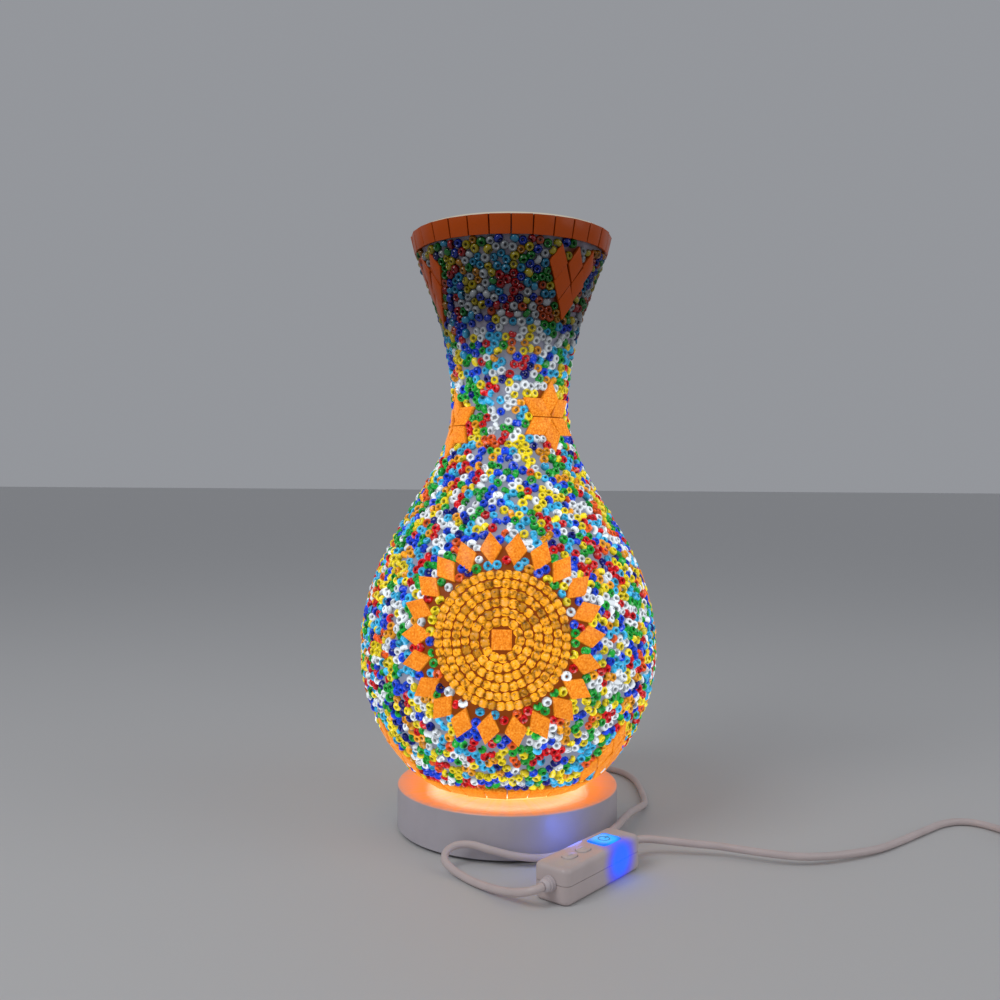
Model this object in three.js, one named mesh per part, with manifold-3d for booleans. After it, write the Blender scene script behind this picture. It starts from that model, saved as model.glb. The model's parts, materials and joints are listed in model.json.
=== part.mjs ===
// Mosaic glass table lamp: a bead and tile covered glass vase that stands on a round light base,
// with a low-voltage lead, an inline button controller and a plug.
// Millimetres, +Z up. The origin is on the table under the middle of the base, -Y is the front.

import * as THREE from 'three';
import { mergeVertices } from 'three/addons/utils/BufferGeometryUtils.js';
import { TessellateModifier } from 'three/addons/modifiers/TessellateModifier.js';
import Module from 'manifold-3d';

const wasm = await Module();
wasm.setup();

// ---------- driving sizes ----------

const gap = 0.3; // between pieces that touch

// base
const baseR = 50;
const baseTop = 20.3;
const baseWall = 2.2;
const baseRoof = 2.4;
const baseEdge = 0.8; // chamfer round the top edge
const shellRise = 1.2; // height of the shell's lower edge above the table
const plateThick = 2;
const headSink = 1.4; // depth of the screw heads' recess
const footPadR = 4.5;
const footPadThick = 1.5;
const footPadCircle = 36;
const screwCircle = 42;
const screwShankR = 1.2;
const screwHeadR = 2.5;
const screwLength = 8;
const bossR = 3.2;
const discR = 30; // light disc that the vase stands on
const discThick = 2.4;
const discProud = 0.7;
const discLedge = 2.2;
const boardR = 34;
const boardThick = 1.6;
const boardZ = 8;
const ledCount = 6;
const ledCircle = 18;
const ledSide = 5;
const ledHeight = 1.6;

// vase: outer surface of the mosaic, heights above the base top
const footR = 27.5;
const bellyR = 66.7;
const bellyZ = 60;
const neckR = 26.5;
const neckZ = 170;
const rimR = 45;
const vaseHeight = 247;
const footSpread = 0.49; // how far each stretch keeps its end's direction, as a share of its size
const bellyBelow = 0.45;
const bellyAbove = 0.47;
const neckBelow = 0.32;
const neckAbove = 0.52;
const rimBelow = 0.155;
const skin = 3; // beads and their adhesive
const bedding = 0.8; // adhesive between the glass and the mosaic, left empty
const glassWall = 2.5;
const glassFootR = 26;
const latheSides = 28;
const stretchSteps = [6, 6, 4]; // facets along the foot, shoulder and flare

// mosaic; heights are measured along the meridian
const tileThick = 2.2;
const bedThick = 1; // adhesive bed that ties a group of tiles
const grout = 0.4; // joint between neighbouring tiles
const footRingStart = 11;
const footRingHeight = 8.4;
const footRingTiles = 28;
const rimRingHeight = 8.2;
const rimRingDrop = 0.4; // below the rim
const rimRingTiles = 30;
const rhombSide = 9.5; // pitch of the sixty degree tiles
const sunBeadR = 29;
const sunTileSide = 8;
const sunBeadRings = 6;
const sunBeadPitch = 3.95;
const rayCount = 22;
const rayInner = 31;
const rayOuter = 45;
const rayWidth = 9.3;
const groupRows = 3;
const sunTurns = [-2.3, 117.7, -122.3]; // azimuths from the front, degrees
const sunRise = 14.2; // above the belly
const starTurns = [42.1, -66, 168];
const starDrops = [5.2, 9, 7]; // below the neck
const flareTurns = [44.5, -71, 166];
const flareDrops = [1.9, 2.7, 2.3]; // below the rim's tiles
const footTurns = [53.5, -66.5, 173.5];
const footRise = 0.9; // above the foot's tiles

// cord and what is on it
const cordR = 1.6;
const cordSides = 8;
const glandZ = 9;
const glandNeckR = 3.2;
const glandFlangeR = 4.4;
const glandTail = 8.5;
const flangeThick = 1.2; // of the gland and the reliefs, inside their walls
const controllerPlace = [32.2, -68.2];
const controllerTurn = 51.6; // degrees from +X
const controllerLength = 52;
const controllerWidth = 16;
const controllerHeight = 14;
const controllerCorner = 3.2;
const controllerWall = 1.4;
const controllerSplit = 7.6;
const reliefZ = 7.6;
const reliefNeckR = 2.2;
const reliefFlangeR = 3.2;
const reliefTail = 4.5;
const ribSide = 1.6; // posts that carry the circuit board
const ribPlaces = [[-16, 3.5], [0, 3.5], [16, 3.5]];
const circuitZ = 4.6;
const circuitThick = 1;
const circuitMargin = [9, 5]; // how much shorter and narrower than the controller
const switchSide = 3.6;
const switchHeight = 1.6;
const buttonTravel = 0.5;
const buttonProud = 0.5;
const buttonLip = 0.8; // how far the flange under the cover reaches past the cap
const lipThick = 1;
const stemR = 1.2;
const indicatorAlong = 9;
const indicatorSide = 3;
const indicatorHeight = 1.2;
const buttons = [
  { name: 'dim_button', along: -13.2, length: 7, width: 5, stem: 0 },
  { name: 'mode_button', along: -4.1, length: 7, width: 5, stem: 0 },
  { name: 'power_button', along: 10.5, length: 13, width: 9.4, stem: 4 },
];
const coilPlace = [250, -26];
const coilMeanR = 17.5;
const coilTurnsWide = 3;
const coilLift = 0.9; // room for the tie under the coil
const tieThick = 0.6;
const tieWidth = 4;
const tieTurn = -50; // place round the coil, degrees
const plugAhead = 15.4; // of the coil's middle
const plugTail = 8;
const plugLength = 21;
const plugWidth = 15;
const plugThick = 8;
const plugCorner = 2.2;
const shieldLength = 12;
const shieldWidth = 12;
const shieldThick = 4.5;
const shieldWall = 0.4;
const shieldBack = 0.8; // closed end of the shell, against the body
const tongueShort = 0.6; // of the shell's mouth
const tongueThick = 1.8;

// inward from the wall, height
const boardLeadRoute = [[4.3, 8.2], [7.8, 6.4], [11.8, 5.8], [17.8, 5.8], [23.8, 5.8]];
const lampLeadRoute = [
  [0, 59, 9], [0.2, 64, 8.7], [1.6, 70, 6.8], [6.4, 77.6, 3.8], [16.5, 85.8, 1.8], [30, 91, 1.65],
  [43, 91, 1.65], [54.3, 87, 1.65], [62, 79.2, 1.65], [66.2, 67.5, 1.65], [67.4, 53, 1.65],
  [67.4, 38, 1.65], [66.4, 26, 1.9], [62.4, 13.4, 4], [56.6, -1, 6.2], [51.8, -14.2, 7.5],
  [46.8, -26, 7.4], [38.2, -37.8, 6], [26.4, -46.6, 4.2], [13.7, -51.8, 3.4], [3, -53.4, 4.8],
  [-7, -53, 7], [-14.6, -51.7, 8.8], [-20.6, -51.4, 9.2], [-25.4, -53.2, 7.6], [-27.2, -57.6, 5],
  [-25.2, -62, 2.8], [-20.2, -64.4, 1.8], [-14.4, -66, 1.65], [-8.4, -70, 1.65], [-3.8, -76, 1.65],
  [-0.8, -82.6, 1.9], [0.4, -89.2, 3.3], [2.3, -94, 5], [6.8, -96.3, 6.6], [10, -95.6, 7.4],
  [12.98, -92.46, 7.6],
];
const supplyLeadRoute = [
  [51.42, -43.93, 7.6], [54, -41, 7.5], [58.8, -39, 7.2], [65, -38.6, 6.6], [76.4, -39, 5.6],
  [89, -40.1, 4.8], [99.9, -44, 4.5], [110.8, -47.3, 4.2], [120.1, -48.6, 3.9], [130.3, -46.7, 3.4],
  [141.4, -42.3, 2.8], [157.3, -33.6, 2], [171.7, -22.1, 1.65], [187.4, -8.7, 1.65],
  [198.5, 0.2, 1.65], [207.5, 3.9, 1.65], [215.2, 2.4, 1.65], [221.6, -5, 1.65], [225.4, -12.6, 1.9],
  [227.4, -16.2, 2.2],
];

// ---------- solids ----------

/** Closed solid of a geometry, with shared vertices merged and collapsed triangles left out. */
function solidOf(geometry) {
  const bare = geometry.index ? geometry.toNonIndexed() : geometry.clone();
  bare.deleteAttribute('normal');
  bare.deleteAttribute('uv');
  const merged = mergeVertices(bare, 1e-4);
  const at = merged.attributes.position.array;
  const index = merged.index.array;
  const faces = [];
  let volume = 0;
  for (let i = 0; i < index.length; i += 3) {
    const [a, b, c] = index.slice(i, i + 3);
    if (a === b || b === c || c === a) continue;
    faces.push(a, b, c);
    volume += corner(at, a).dot(corner(at, b).cross(corner(at, c)));
  }
  const triVerts = Uint32Array.from(volume < 0 ? faces.reverse() : faces);
  return new wasm.Manifold(new wasm.Mesh({ numProp: 3, vertProperties: Float32Array.from(at), triVerts }));
}

function corner(array, i) {
  return new THREE.Vector3().fromArray(array, 3 * i);
}

/** Indexed geometry of a solid. */
function geometryOf(solid) {
  const mesh = solid.getMesh();
  const geometry = new THREE.BufferGeometry();
  geometry.setAttribute('position', new THREE.BufferAttribute(Float32Array.from(mesh.vertProperties), 3));
  geometry.setIndex(new THREE.BufferAttribute(Uint32Array.from(mesh.triVerts), 1));
  geometry.computeVertexNormals();
  return geometry;
}

const joined = (solids) => solids.reduce((a, b) => a.add(b));
const cut = (solid, tools) => tools.reduce((a, b) => a.subtract(b), solid);

/** Solid of revolution about Z from a profile of [radius, height]. */
function turned(profile, sides = latheSides) {
  const points = profile.map(([r, z]) => new THREE.Vector2(r, z));
  return solidOf(new THREE.LatheGeometry(points, sides).rotateX(Math.PI / 2));
}

/** Upright prism of an outline of [x, y] from z0 to z1. */
function prism(outline, z0, z1) {
  const shape = new THREE.Shape(outline.map(([x, y]) => new THREE.Vector2(x, y)));
  const extruded = new THREE.ExtrudeGeometry(shape, { depth: z1 - z0, bevelEnabled: false });
  return solidOf(extruded.translate(0, 0, z0));
}

const circle = (r, sides, cx = 0, cy = 0) => Array.from({ length: sides }, (_, i) => {
  const turn = (i / sides) * 2 * Math.PI;
  return [cx + r * Math.cos(turn), cy + r * Math.sin(turn)];
});

const post = (r, z0, z1, [x, y] = [0, 0], sides = 20) => prism(circle(r, sides, x, y), z0, z1);

/** Rectangle with round corners, centred on the origin. */
function roundedRectangle(length, width, radius, steps = 4) {
  const outline = [];
  for (const [sx, sy, start] of [[1, 1, 0], [-1, 1, 90], [-1, -1, 180], [1, -1, 270]]) {
    for (let i = 0; i <= steps; i += 1) {
      const turn = THREE.MathUtils.degToRad(start + (90 * i) / steps);
      outline.push([
        sx * (length / 2 - radius) + radius * Math.cos(turn),
        sy * (width / 2 - radius) + radius * Math.sin(turn),
      ]);
    }
  }
  return outline;
}

/** Outline moved outwards by a distance, with mitred corners; the outline runs anticlockwise. */
function grown(outline, by) {
  const n = outline.length;
  return outline.map((p, i) => {
    const here = new THREE.Vector2(...p);
    const before = here.clone().sub(new THREE.Vector2(...outline[(i + n - 1) % n])).normalize();
    const after = new THREE.Vector2(...outline[(i + 1) % n]).sub(here).normalize();
    const mitre = new THREE.Vector2(before.y + after.y, -before.x - after.x).normalize();
    const reach = by / (mitre.x * after.y - mitre.y * after.x);
    return [p[0] + mitre.x * reach, p[1] + mitre.y * reach];
  });
}

const polar = (r, degrees) => {
  const turn = THREE.MathUtils.degToRad(degrees);
  return [r * Math.cos(turn), r * Math.sin(turn)];
};

// ---------- the vase's profile ----------

const lower = new THREE.CubicBezierCurve(
  new THREE.Vector2(footR, 0),
  new THREE.Vector2(footR + footSpread * (bellyR - footR), 0),
  new THREE.Vector2(bellyR, bellyZ * (1 - bellyBelow)),
  new THREE.Vector2(bellyR, bellyZ),
);
const middle = new THREE.CubicBezierCurve(
  new THREE.Vector2(bellyR, bellyZ),
  new THREE.Vector2(bellyR, bellyZ + bellyAbove * (neckZ - bellyZ)),
  new THREE.Vector2(neckR, neckZ - neckBelow * (neckZ - bellyZ)),
  new THREE.Vector2(neckR, neckZ),
);
const upper = new THREE.CubicBezierCurve(
  new THREE.Vector2(neckR, neckZ),
  new THREE.Vector2(neckR, neckZ + neckAbove * (vaseHeight - neckZ)),
  new THREE.Vector2(rimR, vaseHeight - rimBelow * (vaseHeight - neckZ)),
  new THREE.Vector2(rimR, vaseHeight),
);
const fineSteps = 120;
const samples = [lower, middle, upper].flatMap((curve, i) => curve.getPoints(fineSteps).slice(i ? 1 : 0));
const arcs = [0];
samples.slice(1).forEach((p, i) => arcs.push(arcs[i] + p.distanceTo(samples[i])));
const meridian = arcs.at(-1);

const bellyArc = arcs[fineSteps];
const neckArc = arcs[2 * fineSteps];

/** Radius, height and outward normal of the mosaic's surface at a distance along the meridian. */
function profileAt(arc) {
  const beyond = arcs.findIndex((a) => a > arc);
  const i = beyond < 0 ? arcs.length - 1 : Math.max(beyond, 1);
  const t = (arc - arcs[i - 1]) / (arcs[i] - arcs[i - 1]);
  const point = samples[i - 1].clone().lerp(samples[i], t);
  const along = samples[i].clone().sub(samples[i - 1]).normalize();
  return { r: point.x, z: baseTop + point.y, out: new THREE.Vector2(along.y, -along.x) };
}

/** Places along the meridian where every turned skin has a corner, so that the skins stay parallel. */
const stations = stretchSteps.flatMap((steps, stretch) => Array.from({ length: steps }, (_, i) => (
  arcs[Math.round((stretch + i / steps) * fineSteps)]
)));

/** Profile points under the mosaic's surface, upwards from one place on the meridian to another. */
function line(from, to, depth) {
  const between = stations.filter((arc) => arc > from + 1 && arc < to - 1);
  return [from, ...between, to].map((arc) => {
    const { r, z, out } = profileAt(arc);
    return [r - depth * out.x, z - depth * out.y];
  });
}

/** Geometry drawn flat as (right, up, outward) wrapped on the mosaic's surface at a place. */
function wrapped(geometry, [azimuth, arc]) {
  const position = geometry.attributes.position;
  for (let i = 0; i < position.count; i += 1) {
    const { r, z, out } = profileAt(arc + position.getY(i));
    const turn = THREE.MathUtils.degToRad(azimuth) + position.getX(i) / r;
    const reach = r + position.getZ(i) * out.x;
    position.setXYZ(i, reach * Math.sin(turn), -reach * Math.cos(turn), z + position.getZ(i) * out.y);
  }
  return geometry;
}

/** Tile of an outline between two depths under the surface, wrapped at a place. */
function tile(outline, place, deep, shallow = 0) {
  return solidOf(wrapped(geometryOf(prism(outline, -deep, -shallow)), place));
}

// ---------- mosaic outlines ----------

const long = rhombSide * Math.sqrt(3);

/** Sixty degree tile with its long diagonal upright, its lower tip at a place. */
const rhomb = (x, y, trim) => grown([
  [x, y], [x + rhombSide / 2, y + long / 2], [x, y + long], [x - rhombSide / 2, y + long / 2],
], -trim);

const spun = (outline, degrees) => outline.map(([x, y]) => {
  const [c, s] = polar(1, degrees);
  return [x * c - y * s, x * s + y * c];
});

const starTiles = (trim) => Array.from({ length: 6 }, (_, i) => spun(rhomb(0, 0, trim), 60 * i));

/** Star outline: six tips and the six corners between them. */
const starOutline = Array.from({ length: 12 }, (_, i) => polar(i % 2 ? rhombSide : long, 90 + 30 * i));

/** Rows of one, two, three tiles on one tip; direction 1 stands on its tip and -1 hangs from it. */
function groupTiles(direction, trim) {
  const tiles = [];
  for (let row = 0; row < groupRows; row += 1) {
    for (let i = 0; i <= row; i += 1) {
      const foot = direction > 0 ? (row * long) / 2 : -(row * long) / 2 - long;
      tiles.push(rhomb((i - row / 2) * rhombSide, foot, trim));
    }
  }
  return tiles;
}

/** Outline of such a group, with its saw-toothed far edge. */
function groupOutline(direction) {
  const outline = [[0, 0]];
  for (let i = 0; i < groupRows; i += 1) {
    const x = (groupRows / 2 - i) * rhombSide;
    outline.push([x, (groupRows * long) / 2], [x - rhombSide / 2, ((groupRows + 1) * long) / 2]);
  }
  outline.push([(-groupRows / 2) * rhombSide, (groupRows * long) / 2]);
  return direction > 0 ? outline : outline.map(([x, y]) => [x, -y]).reverse();
}

const groupHeight = ((groupRows + 1) * long) / 2;
const rimRingStart = meridian - rimRingDrop - rimRingHeight;
const footRingEnd = footRingStart + footRingHeight;

// places of the motifs: azimuth, and distance along the meridian
const suns = sunTurns.map((turn) => [turn, bellyArc + sunRise]);
const neckStars = starTurns.map((turn, i) => [turn, neckArc - starDrops[i]]);
const flareGroups = flareTurns.map((turn, i) => [turn, rimRingStart - flareDrops[i] - groupHeight]);
const footGroups = footTurns.map((turn) => [turn, footRingEnd + footRise + groupHeight]);

const corners = [[0.5, 0.5], [-0.5, 0.5], [-0.5, -0.5], [0.5, -0.5]];
const rectangle = (width, height) => corners.map(([x, y]) => [x * width, y * height]);
const square = (side) => rectangle(side, side);

const rayMiddle = (rayInner + rayOuter) / 2;
const rayTile = Array.from({ length: rayCount }, (_, i) => spun([
  [rayInner, 0], [rayMiddle, -rayWidth / 2], [rayOuter, 0], [rayMiddle, rayWidth / 2],
], (360 * i) / rayCount));
const webWidth = 1.4; // ring of adhesive that ties the rays' inner tips
const webTip = webWidth / (rayMiddle - rayInner);

/** Outline of the ring of rays: each ray's three outer corners and where it leaves the web. */
const rayOutline = rayTile.flatMap((ray) => {
  const [tip, right, end, left] = ray.map(([x, y]) => new THREE.Vector2(x, y));
  const leaves = [tip.clone().lerp(right, webTip), tip.clone().lerp(left, webTip)];
  return [leaves[0], right, end, left, leaves[1]].map(({ x, y }) => [x, y]);
});

/** Outline of a whole sun: the rays' outer edges, run on to meet between each two rays. */
const halfPitch = 180 / rayCount;
const slope = rayWidth / (rayOuter - rayInner);
const lean = Math.tan(THREE.MathUtils.degToRad(halfPitch));
const valley = (slope * rayOuter) / ((slope + lean) * Math.cos(THREE.MathUtils.degToRad(halfPitch)));
const sunOutline = rayTile.flatMap((ray, i) => [polar(valley, (2 * i - 1) * halfPitch), ray[2]]);

// ---------- materials ----------

function finish(color, roughness, metalness = 0) {
  return new THREE.MeshStandardMaterial({ color, roughness, metalness });
}

const whitePlastic = finish('#ece8e2', 0.5);
const milkyPlastic = finish('#fff1d8', 0.35);
const blackRubber = finish('#26262a', 0.85);
const steel = finish('#b9bcc0', 0.3, 1);
const clearGlass = finish('#e9efe8', 0.12);
const mixedBeads = finish('#7fa3a8', 0.25);
const amberBeads = finish('#f0a31e', 0.25);
const orangeTile = finish('#e8751a', 0.22);
const circuitGreen = finish('#2f6b45', 0.55);
const ledYellow = finish('#f6d98a', 0.3);
const blueGlow = finish('#2f63ff', 0.3);
const cordPlastic = finish('#e6dfd8', 0.55);

// ---------- building ----------

const lamp = new THREE.Group();
lamp.name = 'mosaic_lamp';

function place(name, solid, material, parent = lamp) {
  const mesh = new THREE.Mesh(geometryOf(solid), material);
  mesh.name = name;
  parent.add(mesh);
  return mesh;
}

/** Three fixing points of the base plate and the shell's bosses. */
const screwPlaces = [30, 150, 270].map((degrees) => polar(screwCircle, degrees));
const plateFoot = footPadThick + gap;
const plateTop = plateFoot + plateThick;
const roofUnder = baseTop - baseRoof;
const discUnder = baseTop + discProud - discThick;

function buildBase() {
  const inner = baseR - baseWall;
  const windowR = discR - discLedge;
  const shell = turned([
    [baseR, shellRise], [baseR, baseTop - baseEdge], [baseR - baseEdge, baseTop],
    [discR + gap, baseTop], [discR + gap, discUnder - gap], [windowR, discUnder - gap],
    [windowR, roofUnder - baseEdge], [inner, roofUnder - baseEdge], [inner, shellRise], [baseR, shellRise],
  ], 36);
  const bosses = screwPlaces.map((at) => post(bossR, plateTop + gap, roofUnder, at));
  const pilotTop = plateFoot + screwLength + 1;
  const pilots = screwPlaces.map((at) => post(screwShankR + gap, plateTop, pilotTop, at, 12));
  const inlet = post(glandNeckR + gap, 0, 2 * baseWall + 2)
    .rotate([-90, 0, 0])
    .translate([0, inner - 2, glandZ]);
  place('base_shell', cut(joined([shell, ...bosses]), [...pilots, inlet]), whitePlastic);

  const plate = post(inner - 2 * gap, plateFoot, plateTop, [0, 0], 40);
  const headRecess = screwPlaces.map((at) => post(screwHeadR + gap, 0, plateFoot + headSink, at));
  const shankHoles = screwPlaces.map((at) => post(screwShankR + gap, 0, plateTop + 1, at, 12));
  place('base_plate', cut(plate, [...headRecess, ...shankHoles]), whitePlastic);
  const padPlaces = [45, 135, 225, 315].map((degrees) => polar(footPadCircle, degrees));
  padPlaces.forEach((at, i) => {
    place(`foot_pad_${i + 1}`, post(footPadR, 0, footPadThick, at), blackRubber);
  });
  screwPlaces.forEach((at, i) => {
    const head = post(screwHeadR, plateFoot, plateFoot + headSink - gap, at);
    const shank = post(screwShankR, plateFoot + headSink / 2, plateFoot + screwLength, at, 12);
    place(`plate_screw_${i + 1}`, head.add(shank), steel);
  });

  place('led_board', post(boardR, boardZ, boardZ + boardThick, [0, 0], 36), circuitGreen);
  for (let i = 0; i < ledCount; i += 1) {
    const at = polar(ledCircle, (360 * i) / ledCount);
    const body = prism(square(ledSide), 0, ledHeight).translate([...at, boardZ + boardThick + gap]);
    place(`led_${i + 1}`, body, ledYellow);
  }
  const flange = post(discR, discUnder, baseTop + discProud, [0, 0], 40);
  place('light_disc', flange, milkyPlastic);
}

/** Round bushing along +Y from the origin: inner flange, neck through a wall, tapered tail. */
function bushing(neckR, flangeR, wall, tail) {
  const profile = [
    [0, -flangeThick - gap], [flangeR, -flangeThick - gap], [flangeR, -gap], [neckR, -gap],
    [neckR, wall + gap],
    [flangeR * 0.9, wall + gap], [cordR + 0.7, wall + gap + tail], [0, wall + gap + tail],
  ];
  return turned(profile, 20).rotate([-90, 0, 0]);
}

function buildGland() {
  const inner = baseR - baseWall;
  const gland = bushing(glandNeckR, glandFlangeR, baseWall, glandTail);
  place('cord_gland', gland.translate([0, inner - gap / 2, glandZ]), cordPlastic);
  const start = inner - flangeThick - 3 * gap;
  const route = boardLeadRoute.map(([inward, height]) => [0, inner - inward, height]);
  place('board_lead', tube([[0, start, glandZ], ...route], 8), cordPlastic);
}

/** Round tube through points. */
function tube(route, steps) {
  const path = new THREE.CatmullRomCurve3(route.map((p) => new THREE.Vector3(...p)), false, 'centripetal');
  const section = new THREE.Shape(circle(cordR, cordSides).map(([x, y]) => new THREE.Vector2(x, y)));
  return solidOf(new THREE.ExtrudeGeometry(section, { steps, bevelEnabled: false, extrudePath: path }));
}

function buildVase() {
  const glassDepth = skin + bedding;
  const floorZ = baseTop + discProud + gap;
  const glass = turned([
    [0, floorZ], [glassFootR, floorZ], ...line(0, meridian, glassDepth),
    ...line(0, meridian, glassDepth + glassWall).reverse(),
    [glassFootR - glassWall, floorZ + glassWall], [0, floorZ + glassWall],
  ]);
  place('glass_vase', glass, clearGlass);

  const from = footRingEnd + gap;
  const to = rimRingStart - gap;
  const outside = line(from, to, 0);
  const field = turned([...outside, ...line(from, to, skin).reverse(), outside[0]]);
  const cutters = [
    ...suns.map((at) => tile(grown(sunOutline, gap), at, skin + 2, -25)),
    ...neckStars.map((at) => groupRoom(starOutline, at)),
    ...flareGroups.map((at) => groupRoom(groupOutline(1), at)),
    ...footGroups.map((at) => groupRoom(groupOutline(-1), at)),
  ];
  const pieces = cut(field, cutters).decompose();
  place('bead_field', pieces.reduce((a, b) => (b.volume() > a.volume() ? b : a)), mixedBeads);

  place('foot_tile_ring', tileRing(footRingStart, footRingHeight, footRingTiles), orangeTile);
  place('rim_tile_ring', tileRing(rimRingStart, rimRingHeight, rimRingTiles), orangeTile);
  suns.forEach((at, i) => buildSun(at, i + 1));
  const motifs = [
    ['neck_star', neckStars, starTiles(grout / 2), starOutline],
    ['flare_tile_group', flareGroups, groupTiles(1, grout / 2), groupOutline(1)],
    ['foot_tile_group', footGroups, groupTiles(-1, grout / 2), groupOutline(-1)],
  ];
  motifs.forEach(([name, places, tiles, outline]) => places.forEach((at, i) => {
    place(`${name}_${i + 1}`, tileGroup(tiles, outline, at), orangeTile);
  }));
}

/** Flat solid in facets no longer than one and a half tiles, wrapped at a place. */
function finelyWrapped(flat, at) {
  const facets = new TessellateModifier(1.4 * rhombSide, 6).modify(geometryOf(flat).toNonIndexed());
  return solidOf(wrapped(facets, at));
}

/** Tiles standing in a shared adhesive bed. */
function tileGroup(tiles, outline, at) {
  const bed = prism(grown(outline, -grout / 2), -tileThick, bedThick - tileThick);
  return finelyWrapped(joined([bed, ...tiles.map((one) => prism(one, -tileThick, 0))]), at);
}

/** What a tile group takes out of the beads, with room all round it. */
function groupRoom(outline, at) {
  return finelyWrapped(prism(grown(outline, gap), -skin - 1, 1), at);
}

/** Ring of rectangular tiles round the vase, with a joint between each two down to their shared bed. */
function tileRing(start, height, count) {
  const outside = line(start, start + height, 0);
  const ring = turned([...outside, ...line(start, start + height, tileThick).reverse(), outside[0]], count);
  const joint = rectangle(grout, height + 2);
  const middleOf = (i) => [(360 * i) / count, start + height / 2];
  const joints = Array.from({ length: count }, (_, i) => tile(joint, middleOf(i), tileThick - bedThick, -2));
  return cut(ring, joints);
}

/** Sun: centre tile, disc of bead rings and ring of ray tiles. */
function buildSun(at, number) {
  place(`sun_centre_tile_${number}`, tile(square(sunTileSide), at, tileThick), orangeTile);

  const profile = [
    [0, -tileThick], [sunBeadR / 2, -tileThick], [sunBeadR, -tileThick], [sunBeadR, -bedThick],
  ];
  for (let ring = 0; ring < sunBeadRings; ring += 1) {
    const r = sunBeadR - sunBeadPitch * (ring + 0.5);
    profile.push([r, 0], [r - sunBeadPitch / 2, -bedThick]);
  }
  profile.push([0, -bedThick]);
  const points = profile.map(([r, z]) => new THREE.Vector2(r, z));
  const flat = new THREE.LatheGeometry(points, rayCount).rotateX(Math.PI / 2);
  const hole = tile(grown(square(sunTileSide), gap), at, skin + 1, -3);
  place(`sun_bead_disc_${number}`, solidOf(wrapped(flat, at)).subtract(hole), amberBeads);

  const ring = new THREE.Shape(rayOutline.map(([x, y]) => new THREE.Vector2(x, y)));
  const middle = circle(sunBeadR + gap, rayCount).map(([x, y]) => new THREE.Vector2(x, y));
  ring.holes.push(new THREE.Path(middle));
  const rays = new THREE.ExtrudeGeometry(ring, { depth: tileThick, bevelEnabled: false });
  place(`sun_ray_ring_${number}`, solidOf(wrapped(rays.translate(0, 0, -tileThick), at)), orangeTile);
}

function buildController() {
  const group = new THREE.Group();
  group.position.set(...controllerPlace, 0);
  group.rotation.z = THREE.MathUtils.degToRad(controllerTurn);
  lamp.add(group);

  const outside = roundedRectangle(controllerLength, controllerWidth, controllerCorner);
  const inside = grown(outside, -controllerWall);
  const ends = [-1, 1].map((side) => side * (controllerLength / 2 - controllerWall / 2));
  const inlet = post(reliefNeckR + gap, -2, 2, [0, 0], 16).rotate([0, 90, 0]);
  const inlets = ends.map((x) => inlet.translate([x, 0, reliefZ]));
  const lowerTop = controllerSplit - gap / 2;
  const upperFoot = controllerSplit + gap / 2;
  const roof = controllerHeight - controllerWall;

  const tray = prism(outside, 0, lowerTop).subtract(prism(inside, controllerWall, lowerTop + 1));
  const rib = prism(square(ribSide), controllerWall / 2, circuitZ - gap);
  const ribs = ribPlaces.map(([x, y]) => rib.translate([x, y, 0]));
  place('controller_lower_shell', cut(joined([tray, ...ribs]), inlets), whitePlastic, group);

  const holes = buttons.map((b) => {
    const hole = roundedRectangle(b.length + 2 * gap, b.width + 2 * gap, b.width / 2);
    return prism(hole, roof - 1, controllerHeight + 1).translate([b.along, 0, 0]);
  });
  const cover = prism(outside, upperFoot, controllerHeight).subtract(prism(inside, upperFoot - 1, roof));
  place('controller_upper_shell', cut(cover, [...holes, ...inlets]), whitePlastic, group);

  const board = roundedRectangle(controllerLength - circuitMargin[0], controllerWidth - circuitMargin[1], 1);
  place('controller_board', prism(board, circuitZ, circuitZ + circuitThick), circuitGreen, group);

  const lipTop = roof - gap;
  const switchFoot = circuitZ + circuitThick + gap;
  const stemFoot = switchFoot + switchHeight + buttonTravel + gap;
  buttons.forEach((b, i) => {
    const housing = prism(square(switchSide), switchFoot, switchFoot + switchHeight);
    place(`controller_switch_${i + 1}`, housing.translate([b.along + b.stem, 0, 0]), blackRubber, group);
    const face = roundedRectangle(b.length, b.width, b.width / 2 - 0.05);
    const flange = roundedRectangle(b.length + 2 * buttonLip, b.width + 2 * buttonLip, b.width / 2);
    const cap = prism(face, lipTop - buttonLip / 2, controllerHeight + buttonProud);
    const lip = prism(flange, lipTop - lipThick, lipTop);
    const stem = post(stemR, stemFoot, lipTop - lipThick / 2, [b.stem, 0], 12);
    const button = joined([cap, lip, stem]).translate([b.along, 0, 0]);
    place(b.name, button, b.stem ? blueGlow : whitePlastic, group);
  });
  const glow = prism(square(indicatorSide), switchFoot, switchFoot + indicatorHeight);
  place('indicator_led', glow.translate([indicatorAlong, 0, 0]), blueGlow, group);

  const relief = bushing(reliefNeckR, reliefFlangeR, controllerWall, reliefTail);
  const reach = controllerLength / 2 - controllerWall - gap / 2;
  const nearRelief = relief.rotate([0, 0, 90]).translate([-reach, 0, reliefZ]);
  const farRelief = relief.rotate([0, 0, -90]).translate([reach, 0, reliefZ]);
  place('lamp_side_relief', nearRelief, cordPlastic, group);
  place('supply_side_relief', farRelief, cordPlastic, group);
}

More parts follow.
